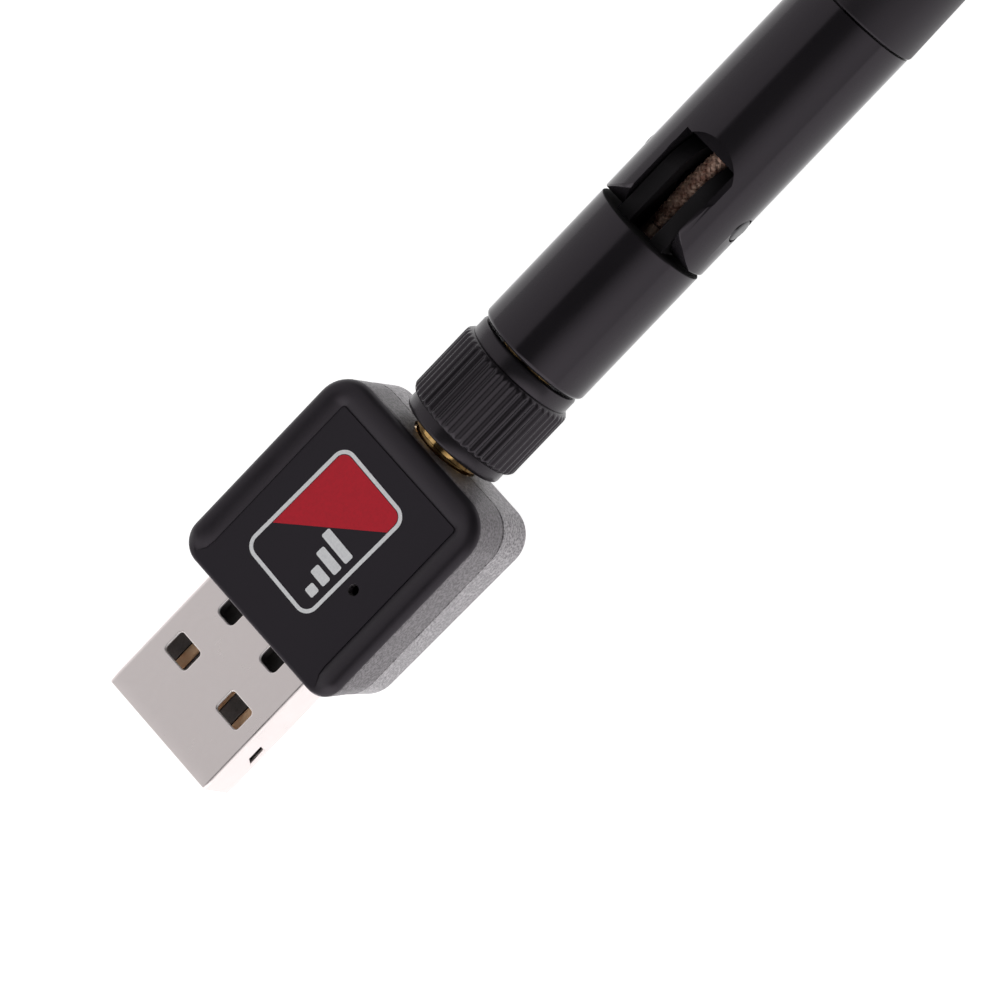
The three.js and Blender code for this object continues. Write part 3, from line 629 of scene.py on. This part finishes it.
def case_loop(front, rear, half, radius, z_side, z_front=None, flare=0.0, front_half=None, front_radius=None):
    """A ring round the case, with tighter corners at the front unless told otherwise.

    Its height and width may differ where it passes the front edge.
    """
    z_front = z_side if z_front is None else z_front
    front_half = front_half or half
    front_radius = front_radius or 0.7 * radius
    corner_steps = 12
    side_steps = 20
    outline = []
    for x, y, reach, start in (
        (rear - radius, half - radius, radius, 0),
        (front + front_radius, front_half - front_radius, front_radius, 90),
        (front + front_radius, front_radius - front_half, front_radius, 180),
        (rear - radius, radius - half, radius, 270),
    ):
        outline += arc((x, y), reach, start, start + 90, corner_steps)
    points = []
    for i, (x, y) in enumerate(outline):
        points.append((x, y))
        if i % (corner_steps + 1) == corner_steps:
            next_x, next_y = outline[(i + 1) % len(outline)]
            for k in range(1, side_steps):
                share = k / side_steps
                points.append((x + (next_x - x) * share, y + (next_y - y) * share))
    loop = []
    for x, y in points:
        mask = smoothstep(x, CASE_FRONT + 0.35, CASE_FRONT + 1.9)
        spread_out = flare * (1 - mask) * abs(y) / half
        loop.append((x, y + math.copysign(spread_out, y), z_front + (z_side - z_front) * mask))
    return loop


def cut_openings(obj):
    """Cuts the plug's and the jack's openings through the ends of a shell."""
    combine(obj, block((9.0, -6.12, -2.37), (14.0, 6.12, 2.37), 0.55))
    combine(obj, drum((0, 0, 0), 0, 28.5, 33.0, 3.06))


def case_top():
    """Upper shell: drafted sides, a rounded rim on three sides and the sunk label panel."""
    low = PARTING + 0.05
    top_rear = 31.25
    top_half = 8.99
    loops = [
        case_loop(*CAVITY, 3.2),
        case_loop(*CAVITY, low),
        case_loop(CASE_FRONT + 0.25, CASE_REAR - 0.05, CASE_HALF - 0.05, 2.95, low, front_radius=2.95),
        case_loop(CASE_FRONT + 0.2, CASE_REAR - 0.01, CASE_HALF - 0.01, 3.0, low + 0.06, front_radius=2.95),
        case_loop(CASE_FRONT + 0.1, CASE_REAR - 0.1, CASE_HALF - 0.02, 2.98, 2.0, front_radius=2.5),
        case_loop(CASE_FRONT, top_rear + 0.02, top_half, 2.95, 3.85, 3.75),
    ]
    crown = 8.19  # half the width at the top of the rim
    crown_rear = top_rear - (top_half - crown)
    rim_top = 4.7
    outer_arc = top_half - crown
    for step in range(0, 7):
        angle = math.radians(90 * step / 6)
        half = crown + outer_arc * math.cos(angle)
        up = rim_top - outer_arc * (1 - math.sin(angle))
        inset = top_half - half
        front_turn = math.radians(90 * min(1, step / 4))
        front = CASE_FRONT + 0.32 * (1 - math.cos(front_turn))
        front_up = PANEL_LEVEL - 0.32 + 0.32 * math.sin(front_turn)
        loops.append(case_loop(front, top_rear - inset, half, 2.9 - 0.75 * inset, up, front_up))
    inner_arc = 2.0
    steepest = math.asin((crown - PANEL_HALF) / inner_arc)
    for step in range(1, 7):
        angle = steepest * step / 6
        half = crown - inner_arc * math.sin(angle)
        up = rim_top - inner_arc * (1 - math.cos(angle))
        share = (crown - half) / (crown - PANEL_HALF)
        rear = crown_rear - (crown_rear - PANEL_REAR) * share
        front = CASE_FRONT + 0.32 + 0.1 * share
        loops.append(case_loop(front, rear, half, 2.2 - 1.85 * share, up, PANEL_LEVEL, 0.6 * share))
    groove = PANEL_LEVEL - 0.09
    rear = PANEL_REAR
    loops += [
        case_loop(CASE_FRONT + 0.45, rear, PANEL_HALF, 0.32, groove, PANEL_LEVEL, 0.62),
        case_loop(CASE_FRONT + 0.47, rear - 0.06, PANEL_HALF - 0.06, 0.3, groove, PANEL_LEVEL, 0.62),
        case_loop(CASE_FRONT + 0.5, rear - 0.1, PANEL_HALF - 0.1, 0.28, PANEL_LEVEL, PANEL_LEVEL, 0.62),
    ]
    verts, faces = skin(loops)
    obj = new_piece("case_top", verts, faces, sharp=40)
    obj.data.materials.append(SIDE_GRAIN_PAINTED_REFLECTION)
    obj.data.materials.append(PANEL)
    obj.data.materials.append(RIM)
    side_top = place(0, 0, SIDE_TOP).z
    sunk = place(0, 0, PANEL_LEVEL + 0.002).z
    edge = (PANEL_HALF + 0.08) * MM
    # Below SIDE_TOP the faces take the side grain with its painted floor reflection.
    for polygon in obj.data.polygons:
        flat = polygon.center.z < sunk and abs(polygon.center.y) < edge
        polygon.material_index = 0 if polygon.center.z < side_top else 1 if flat else 2
    cut_openings(obj)
    combine(obj, drum((*LIGHT_HOLE, 0), 2, 2.0, 6.0, 0.46, 32))
    shade(obj, 40)
    return finish_piece(obj, "case", "case_top", None, "housing_top")


def case_bottom():
    """Lower shell: its front is drafted and narrows a little, its rear corners are tighter."""
    high = PARTING - 0.05
    edge = 0.75
    loops = [
        case_loop(*CAVITY, -3.4),
        case_loop(*CAVITY, high),
        case_loop(CASE_FRONT + 0.25, CASE_REAR - 0.05, CASE_HALF - 0.05, 2.95, high, front_radius=2.95),
        case_loop(CASE_FRONT + 0.2, CASE_REAR, CASE_HALF, 2.95, high - 0.06, front_radius=2.95),
    ]
    for step in range(0, 8):
        angle = math.radians(90 * step / 7)
        inset = edge * (1 - math.cos(angle))
        z = -4.5 + edge * (1 - math.sin(angle))
        loops.append(
            case_loop(
                12.35 + inset, 31.6 - inset, 9.02 - inset, 2.6 - 0.6 * inset, z,
                front_half=8.74 - inset, front_radius=2.8 - 0.6 * inset,
            )
        )
    verts, faces = skin(loops)
    obj = new_piece("case_bottom", verts, faces, sharp=40)
    for x, y in POSTS:
        combine(obj, drum((x, y, 0), 2, -3.9, -1.7, 0.8, 32), "UNION")
    cut_openings(obj)
    shade(obj, 40)
    return finish_piece(obj, "case", "case_bottom", BASE_GRAIN_PAINTED_REFLECTION, "housing_bottom")


# ---- Printed badge: a plain outline, a corner flash and rising bars --------------------------------

BADGE = {"x0": 15.55, "x1": 26.85, "y0": -3.2, "y1": 4.7, "radius": 1.2, "line": 0.32}
BADGE_X = (BADGE["x0"] + BADGE["x1"]) / 2
BADGE_Y = (BADGE["y0"] + BADGE["y1"]) / 2
# The print sits a little askew on the panel.
PRINT = (PLACE @ Matrix.Translation((BADGE_X, BADGE_Y, 0)) @ Matrix.Rotation(math.radians(-1.5), 4, "Z")
         @ Matrix.Translation((-BADGE_X, -BADGE_Y, 0)))
INK_LOW = PANEL_LEVEL - 0.01
INK_TOP = PANEL_LEVEL + 0.014


def badge_outline(inset, steps=10):
    half_x = (BADGE["x1"] - BADGE["x0"]) / 2 - inset
    half_y = (BADGE["y1"] - BADGE["y0"]) / 2 - inset
    radius = BADGE["radius"] - inset
    return [(BADGE_X + a, BADGE_Y + b) for a, b in rounded_loop(half_x, half_y, radius, steps)]


def ink(name, outline, material, low=INK_LOW, top=INK_TOP):
    """A flat printed shape with a film's thickness."""
    loops = [[(x, y, z) for x, y in outline] for z in (low, top)]
    verts, faces = skin(loops)
    obj = new_piece(name, verts, faces, PRINT)
    return finish_piece(obj, "case", "case_top", material)


def badge_frame():
    outer = badge_outline(0)
    inner = badge_outline(BADGE["line"])
    loops = [
        [(x, y, INK_LOW) for x, y in outer],
        [(x, y, INK_TOP) for x, y in outer],
        [(x, y, INK_TOP) for x, y in inner],
        [(x, y, INK_LOW) for x, y in inner],
    ]
    verts, faces = skin(loops, closed=True)
    obj = new_piece("badge_frame", verts, faces, PRINT)
    return finish_piece(obj, "case", "case_top", SILVER_INK)


def clipped(outline, keep):
    """The part of a convex outline where keep((x, y)) is positive."""
    result = []
    for i, here in enumerate(outline):
        after = outline[(i + 1) % len(outline)]
        side, next_side = keep(here), keep(after)
        if side > 0:
            result.append(here)
        if side * next_side < 0:
            share = side / (side - next_side)
            result.append(tuple(p + (q - p) * share for p, q in zip(here, after)))
    return result


def badge():
    badge_frame()
    field = badge_outline(BADGE["line"] + 0.06)
    slope = 1.6 * (BADGE["y1"] - BADGE["y0"]) / (BADGE["x1"] - BADGE["x0"])

    def above_diagonal(point):
        return (point[1] - BADGE_Y) + slope * (point[0] - BADGE_X) - 0.5

    ink("badge_flash", clipped(field, above_diagonal), RED_INK)
    bar_width = 0.85
    for i in range(4):
        x = 17.0 + 1.25 * i
        height = 0.9 + 0.72 * i
        bar = [(x + bar_width / 2 + a, -2.3 + height / 2 + b)
               for a, b in rounded_loop(bar_width / 2, height / 2, 0.16, 5)]
        ink(f"badge_bar_{i + 1}", bar, SILVER_INK, top=INK_TOP + 0.01)


# ---- Coaxial jack and coupling nut --------------------------------------------------------------

PITCH = 25.4 / 36
THREAD_MINOR = 2.79
THREAD_MAJOR = 3.16


def thread_radius(x, angle, clearance=0.0):
    """Radius of a right-handed 1/4-36 thread: flat crests and roots, flanks at 60 degrees."""
    phase = (x / PITCH - angle / (2 * math.pi)) % 1.0
    height = min(1.0, max(0.0, (0.5 - abs(phase - 0.5)) * 2.7 - 0.3))
    return THREAD_MINOR + clearance + (THREAD_MAJOR - THREAD_MINOR) * height


def thread_loops(start, end, clearance=0.0, fade=0.5, count=96, per_pitch=12):
    steps = round((end - start) / PITCH * per_pitch)
    loops = []
    for step in range(steps + 1):
        x = start + (end - start) * step / steps
        share = smoothstep(min(x - start, end - x), 0, fade) if fade else 1
        base = THREAD_MINOR + clearance
        loop = []
        for i in range(count):
            angle = 2 * math.pi * i / count
            reach = base + (thread_radius(x, angle, clearance) - base) * share
            loop.append((x, -reach * math.sin(angle), reach * math.cos(angle)))
        loops.append(loop)
    return loops


def jack():
    """Gold jack: a threaded barrel with a relief groove, a flange and prongs that grip the board."""
    count = 96
    bore = [(37.2, 2.33), (35.45, 2.33), (35.45, 2.05), (28.45, 2.05)]
    loops = [ring(x, r, count) for x, r in bore]
    relief = [(28.45, 2.98), (31.2, 2.98), (31.28, 2.72), (31.6, 2.72), (31.72, 2.98), (32.05, 2.98)]
    loops += [ring(x, r, count) for x, r in relief + [(32.2, THREAD_MINOR)]]
    loops += thread_loops(32.35, 36.95)
    loops += [ring(37.15, THREAD_MINOR - 0.05, count), ring(37.2, THREAD_MINOR - 0.12, count)]
    verts, faces = skin(loops, closed=True)
    obj = new_piece("jack_body", verts, faces, sharp=30)
    flange = block((28.45, -3, -3), (29.8, 3, 3), 0.4)
    combine(flange, drum((0, 0, 0), 0, 27, 31, 2.5))
    combine(obj, flange, "UNION")
    for side in (-1, 1):
        ys = sorted((side * 2.15, side * 2.98))
        combine(obj, block((25.55, ys[0], -0.34), (28.9, ys[1], 0.45), 0.1), "UNION")
        combine(obj, block((25.55, ys[0], -2.56), (28.9, ys[1], -1.66), 0.1), "UNION")
    shade(obj, 30)
    return finish_piece(obj, "case", "gold_plate", GOLD_PAINTED_SHADE, "jack_body")


def nut_insert():
    """Brass ring with the nut's inner thread."""
    count = 96
    loops = thread_loops(32.75, 38.4, clearance=0.09, fade=0)
    loops = [ring(32.6, 3.3, count)] + loops + [ring(38.45, 3.1, count), ring(38.57, 3.1, count)]
    loops += [ring(x, r, count) for x, r in ((38.57, 2.56), (39.2, 2.56), (39.2, 3.68), (32.6, 3.68))]
    verts, faces = skin(loops, closed=True)
    obj = new_piece("nut_insert", verts, faces, sharp=30)
    return finish_piece(obj, "nut", "brass", BRASS, "nut_thread_insert")


RIDGES = 44
CREST = 5.13
ROOT = 4.95
RIDGE_SAMPLES = 12


def knurl(x, most):
    """A ring over the ridges, whose crests and valleys are alike, cut down to a radius."""
    count = RIDGES * RIDGE_SAMPLES
    points = []
    for i in range(count):
        angle = 2 * math.pi * i / count
        profile = 0.5 + 0.5 * math.cos(RIDGES * angle)
        reach = min(ROOT + (CREST - ROOT) * profile, most)
        points.append((x, -reach * math.sin(angle), reach * math.cos(angle)))
    return points


def knurled_nut():
    count = RIDGES * RIDGE_SAMPLES
    lip = [(32.3, 4.3), (32.34, 4.45), (32.45, 4.58), (32.6, 4.62), (33.42, 4.62), (33.5, 4.6)]
    collar = [(39.95, 4.68), (40.05, 4.7), (41.05, 4.7), (41.2, 4.64), (41.28, 4.52), (41.3, 4.38)]
    bore = [(41.3, 2.7), (41.2, 2.58), (39.28, 2.58), (39.28, 3.74), (32.5, 3.74), (32.3, 3.95)]
    loops = [ring(x, r, count) for x, r in lip]
    front, back = 33.52, 39.88
    slope = 0.34
    for along, drop in ((0.0, 0.26), (0.06, 0.2), (0.2, 0.08), (slope, 0.02), (slope + 0.12, 0.0)):
        loops.append(knurl(front + along, CREST - drop))
    for along, drop in ((slope + 0.12, 0.0), (slope, 0.02), (0.2, 0.08), (0.06, 0.2), (0.0, 0.26)):
        loops.append(knurl(back - along, CREST - drop))
    loops += [ring(x, r, count) for x, r in collar + bore]
    verts, faces = skin(loops, closed=True)
    obj = new_piece("knurled_nut", verts, faces, sharp=50)
    return finish_piece(obj, "nut", "nut_black", NUT_BLACK, "coupling_nut")


# ---- Barrel, hinge and whip ---------------------------------------------------------------------

ROUND = 144
LUG_RADIUS = 3.15
FORK_RADIUS = 4.98


def lower_barrel():
    """Lower barrel with two hinge lugs and the cable channel between them."""
    profile = [(54.6, 0.0), *arc((54.45, 4.78), 0.15, 0, 90, 3)]
    profile += [*arc((41.9, 4.53), 0.4, 90, 180, 6), (41.5, 0.0)]
    obj = turned("lower_barrel", profile[::-1], ROUND, ANTENNA)
    centre = HINGE_X
    outline = [(53.6, -LUG_RADIUS), (centre, -LUG_RADIUS)]
    outline += arc((centre, 0), LUG_RADIUS, -90, 90, 36)[1:] + [(53.6, LUG_RADIUS)]
    combine(obj, plate(outline, -2.4, 2.4, ANTENNA), "UNION")
    combine(obj, block((54.62, -1.12, -1.6), (64, 1.12, 6), transform=ANTENNA))
    combine(obj, block((53.7, -1.12, -1.6), (54.7, 1.12, 2.2), 0.6, transform=ANTENNA))
    combine(obj, drum((centre, 0, 0), 1, -3, 3, 0.96, 48, ANTENNA))
    combine(obj, drum((0, 0, 0), 0, 50.0, 56.0, 1.1, 48, ANTENNA))
    combine(obj, drum((0, 0, 0), 0, 42.7, 51.5, 3.4, 96, ANTENNA))
    combine(obj, drum((0, 0, 0), 0, 41.0, 43.0, 2.5, 96, ANTENNA))
    soften(obj, 0.06, 2, 40)
    obj = finish_piece(obj, "barrel", "antenna_black", ANTENNA_BLACK, "base_barrel")
    obj.data.materials.append(END_FACE)
    shoulder = place(54.55, 0, 0).x
    for polygon in obj.data.polygons:
        if polygon.center.x > shoulder:
            polygon.material_index = 1
    return obj


def upper_fork():
    """Upper section whose two ears straddle the lugs."""
    end = 77.6
    profile = [(84.0, 0.0), (84.0, 4.0), (83.85, 4.15), (end, 4.15)]
    profile += [(end, FORK_RADIUS), *arc((55.09, 4.83), 0.15, 90, 180, 3), (54.94, 0.0)]
    obj = turned("upper_fork", profile[::-1], ROUND, ANTENNA)
    combine(obj, block((53.0, -2.55, -3.35), (63.0, 2.55, 7), transform=ANTENNA))
    ears = block((51.0, -7, 0), (HINGE_X, 7, 7), transform=ANTENNA)
    combine(ears, drum((HINGE_X, 0, 0), 1, -8, 8, 4.98, 144, ANTENNA))
    combine(obj, ears)
    combine(obj, drum((61.2, -0.3, 0), 2, 3.95, 7, 2.9, 96, ANTENNA))
    combine(obj, drum((HINGE_X, 0, 0), 1, -6, 6, 0.97, 48, ANTENNA))
    for side in (-1, 1):
        ends = sorted((side * 4.3, side * 6))
        combine(obj, drum((HINGE_X, 0, 0), 1, *ends, 1.16, 48, ANTENNA))
    combine(obj, drum((0, 0, 0), 0, 62.0, 86.0, 1.95, 64, ANTENNA))
    combine(obj, drum((0, 0, 0), 0, 68.0, 86.0, 3.2, 64, ANTENNA))
    soften(obj, 0.07, 2, 40)
    return finish_piece(obj, "whip", "antenna_black", ANTENNA_BLACK, "hinge_fork")


def hinge_pin(side):
    """A steel pin with a low domed head that sits almost flush in the ear."""
    profile = [(1.3, 0.0), (1.3, 0.8), (1.4, 0.9), (4.4, 0.9), (4.4, 1.04), (4.86, 1.04)]
    profile += [(4.92, 1.0), (4.96, 0.9), (4.98, 0.7), (4.995, 0.35), (5.0, 0.0)]
    turn = Matrix.Translation((HINGE_X, 0, 0)) @ Matrix.Rotation(side * math.pi / 2, 4, "Z")
    name = "hinge_pin_left" if side > 0 else "hinge_pin_right"
    obj = turned(name + "_head", profile, 64, ANTENNA @ turn)
    return finish_piece(obj, "whip", "spring_steel", PIN_STEEL, name)


def whip_tube():
    """The long tapering tube with its rounded tip, open where it slides over the fork."""
    length, tip = 140.3, 4.0
    centre = length - tip
    profile = [(84.4, 3.85), (84.4, 4.3), (77.75, 4.3), (77.75, 4.95), (77.8, 5.05), (77.95, 5.1)]
    profile += [(90.0, 4.88), (110.0, 4.5), (130.0, 4.12)]
    profile += arc((centre, 0), tip, 90, 0, 16)[:-1] + [(length, 0.0)]
    inner = [(centre + 2.1, 0.0), (centre + 1.5, 1.6), (centre - 0.8, 2.9)]
    obj = turned("whip_tube", inner + profile, ROUND, ANTENNA)
    return finish_piece(obj, "whip", "antenna_black", TUBE_BLACK, "radome")


# ---- Cable --------------------------------------------------------------------------------------

CABLE_RADIUS = 0.85
BEND_ROUTE = ((55.5, 0, 0), (57.5, 0.08, 0.12), (59.8, 0, 0.55), (62.0, -0.2, 0.85), (64.1, -0.3, 0.75))


def route(points, steps):
    """Even points on a smooth curve through a few given ones."""
    given = [Vector(p) for p in points]
    given = [given[0] * 2 - given[1]] + given + [given[-1] * 2 - given[-2]]
    dense = []
    for i in range(1, len(given) - 2):
        a, b, c, d = given[i - 1:i + 3]
        for k in range(24):
            t = k / 24
            dense.append(0.5 * (2 * b + (c - a) * t + (2 * a - 5 * b + 4 * c - d) * t * t
                                + (3 * b - a - 3 * c + d) * t ** 3))
    dense.append(given[-2])
    lengths = [0.0]
    for here, after in zip(dense, dense[1:]):
        lengths.append(lengths[-1] + (after - here).length)
    result = []
    cursor = 0
    for k in range(steps + 1):
        target = lengths[-1] * k / steps
        while cursor < len(lengths) - 2 and lengths[cursor + 1] < target:
            cursor += 1
        share = (target - lengths[cursor]) / (lengths[cursor + 1] - lengths[cursor])
        result.append(dense[cursor].lerp(dense[cursor + 1], share))
    return result


def frames_along(points):
    """A steady pair of cross directions at each point of a curve."""
    frames = []
    for i, point in enumerate(points):
        ahead = (points[min(i + 1, len(points) - 1)] - points[max(i - 1, 0)]).normalized()
        across = ahead.cross(Vector((0, 0, 1))).normalized()
        frames.append((point, across, across.cross(ahead)))
    return frames


def strand(frames, radius_at, angle_at, wire, sides=5):
    """A wire wound round a curve."""
    loops = []
    centres = []
    for i, (point, across, up) in enumerate(frames):
        angle = angle_at(i)
        outward_way = across * math.cos(angle) + up * math.sin(angle)
        centres.append((point + outward_way * radius_at(i), outward_way))
    for i, (centre, outward_way) in enumerate(centres):
        ahead = (centres[min(i + 1, len(centres) - 1)][0] - centres[max(i - 1, 0)][0]).normalized()
        side = ahead.cross(outward_way).normalized()
        loop = []
        for k in range(sides):
            turn = 2 * math.pi * k / sides
            loop.append(centre + side * (wire * math.cos(turn)) + outward_way * (wire * math.sin(turn)))
        loops.append(loop)
    return skin(loops)


def braided_cable():
    """The bare braid that crosses the hinge: eight bundles each way, three wires to a bundle."""
    steps = 110
    frames = frames_along(route(BEND_ROUTE, steps))
    bundles, wires, wire = 8, 3, 0.048
    turns = 2.1
    verts, faces = [], []

    def add(piece):
        base = len(verts)
        verts.extend(piece[0])
        faces.extend(tuple(base + i for i in face) for face in piece[1])

    for way in (-1, 1):
        for bundle in range(bundles):
            for k in range(wires):
                offset = (k - (wires - 1) / 2) * 0.135
                start = 2 * math.pi * bundle / bundles + offset

                def angle_at(i, start=start, way=way):
                    return start + way * 2 * math.pi * turns * i / steps

                def radius_at(i, bundle=bundle, way=way):
                    crossing = 2 * bundles * turns * i / steps + bundle
                    return CABLE_RADIUS - 0.1 + 0.045 * way * math.cos(math.pi * crossing)

                add(strand(frames, radius_at, angle_at, wire))
    core = []
    for point, across, up in frames:
        core.append([point + (across * math.cos(a) + up * math.sin(a)) * (CABLE_RADIUS - 0.17)
                     for a in (2 * math.pi * k / 24 for k in range(24))])
    add(skin(core))
    obj = new_piece("cable_braid", verts, faces, ANTENNA)
    obj.data.materials.append(WIRE)
    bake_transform(obj)
    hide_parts("coax_bend")
    return obj


# ---- Carried-over frame nodes ---------------------------------------------------------------------

NODE_MATERIALS = {
    "circuit_board": BOARD,
    "wifi_chip": CHIP,
    "crystal": CAN_METAL,
    "voltage_regulator": CHIP,
    "power_inductor": CERAMIC,
    "input_capacitor": CERAMIC,
    "antenna_filter": CERAMIC,
    "status_led": LENS,
    "jack_insulator": PTFE,
    "jack_contact": GOLD_PAINTED_SHADE,
    "connector_body": GOLD_PAINTED_SHADE,
    "connector_insulator": PTFE,
    "connector_contact": GOLD_PAINTED_SHADE,
    "connector_gasket": SILICONE,
    "retaining_clip": PIN_STEEL,
    "coax_lower": WIRE,
    "coax_upper": WIRE,
    "choke_sleeve": BRASS,
    "radiator": BRASS,
}


def dress_nodes():
    for name, material in NODE_MATERIALS.items():
        node = frame["nodes"][name]
        node.data.materials.clear()
        node.data.materials.append(material)


# ---- Studio -------------------------------------------------------------------------------------

VIEW_RIGHT = Vector((0.6777, -0.6288, -0.3811))
VIEW_UP = Vector((0.7059, 0.7015, 0.0979))
VIEW_BACK = Vector((0.2057, -0.3354, 0.9193))
VIEWPOINT = (153.71, -204.47, 543.64)
FOCAL_LENGTH = 279.7


def camera():
    """A long lens high over the side of the case that the status light is on."""
    data = bpy.data.cameras.new("camera")
    data.lens = FOCAL_LENGTH
    data.sensor_width = 36
    data.clip_start = 0.05
    data.clip_end = 20
    obj = bpy.data.objects.new("camera", data)
    bpy.context.scene.collection.objects.link(obj)
    turn = Matrix((VIEW_RIGHT, VIEW_UP, VIEW_BACK)).transposed().to_4x4()
    obj.matrix_world = Matrix.Translation(place(*VIEWPOINT)) @ turn
    bpy.context.scene.camera = obj


def floor():
    """A pale light table, bright enough to leave hardly a shadow."""
    half = 3.0
    corners = [(-half, -half, 0), (half, -half, 0), (half, half, 0), (-half, half, 0)]
    mesh = bpy.data.meshes.new("floor")
    mesh.from_pydata(corners, [], [(0, 1, 2, 3)])
    obj = bpy.data.objects.new("floor", mesh)
    bpy.context.scene.collection.objects.link(obj)
    recipe = Recipe("floor_table", (0.42, 0.42, 0.42), 0.9, specular=0.1)
    recipe.shader.inputs["Emission Color"].default_value = (1, 1, 1, 1)
    recipe.shader.inputs["Emission Strength"].default_value = 0.95
    mesh.materials.append(recipe.material)


# Light levels round the object's long axis: degrees from the camera's side, + towards the light's side
TENT = (
    (-180, 0.6), (-110, 0.66), (-76, 0.72), (-50, 0.66), (-33, 0.56), (-31.5, 0.02),
    (-8, 0.01), (10, 0.014), (20, 0.055), (31, 0.14), (49, 0.28), (76, 0.48), (180, 0.65),
)


def reach_along(tree, direction, axis):
    along = tree.nodes.new("ShaderNodeVectorMath")
    along.operation = "DOT_PRODUCT"
    along.inputs[1].default_value = axis
    tree.links.new(direction, along.inputs[0])
    return along.outputs["Value"]


def tent():
    """A pale tent that is bright at both sides, with a dark opening overhead round the camera."""
    world = bpy.data.worlds.new("tent")
    bpy.context.scene.world = world
    world.use_nodes = True
    tree = world.node_tree
    tree.nodes.clear()
    output = tree.nodes.new("ShaderNodeOutputWorld")
    background = tree.nodes.new("ShaderNodeBackground")
    direction = tree.nodes.new("ShaderNodeTexCoord").outputs["Generated"]
    facing = Vector((0, VIEW_BACK.y, VIEW_BACK.z)).normalized()
    across = Vector((0, -facing.z, facing.y))
    angle = tree.nodes.new("ShaderNodeMath")
    angle.operation = "ARCTAN2"
    for socket, axis in zip(angle.inputs, (across, facing)):
        tree.links.new(reach_along(tree, direction, axis), socket)
    share = tree.nodes.new("ShaderNodeMapRange")
    share.inputs["From Min"].default_value = -math.pi
    share.inputs["From Max"].default_value = math.pi
    tree.links.new(angle.outputs[0], share.inputs["Value"])
    ramp = tree.nodes.new("ShaderNodeValToRGB")
    elements = ramp.color_ramp.elements
    while len(elements) < len(TENT):
        elements.new(0.5)
    for element, (degrees, level) in zip(elements, TENT):
        element.position = (degrees + 180) / 360
        element.color = (level, level, level, 1)
    tree.links.new(share.outputs[0], ramp.inputs[0])
    # Beyond the antenna's end the tent is dark, and beside the plug there is one more soft light.
    levels = [ramp.outputs[0]]
    for axis, ends, operation in (
        ((1, 0, 0), (0.3, 0.7, 1.4, 0.3), "MULTIPLY"),
        ((-0.78, -0.55, 0.3), (0.62, 0.85, 0.0, 1.8), "ADD"),
    ):
        fade = tree.nodes.new("ShaderNodeMapRange")
        for name, value in zip(("From Min", "From Max", "To Min", "To Max"), ends):
            fade.inputs[name].default_value = value
        tree.links.new(reach_along(tree, direction, axis), fade.inputs["Value"])
        mix = tree.nodes.new("ShaderNodeMath")
        mix.operation = operation
        tree.links.new(levels[-1], mix.inputs[0])
        tree.links.new(fade.outputs[0], mix.inputs[1])
        levels.append(mix.outputs[0])
    tree.links.new(levels[-1], background.inputs["Strength"])
    tree.links.new(background.outputs[0], output.inputs["Surface"])


def studio():
    camera()
    floor()
    tent()
    bpy.context.scene.view_settings.view_transform = "Standard"


# ---- Assembly -----------------------------------------------------------------------------------

studio()
plug_shell()
plug_insulator()
for number, y in enumerate(CONTACT_Y, 1):
    plug_contact(number, y)
case_top()
case_bottom()
badge()
jack()
nut_insert()
knurled_nut()
lower_barrel()
upper_fork()
for side in (1, -1):
    hinge_pin(side)
whip_tube()
braided_cable()
dress_nodes()

bpy.context.view_layer.update()
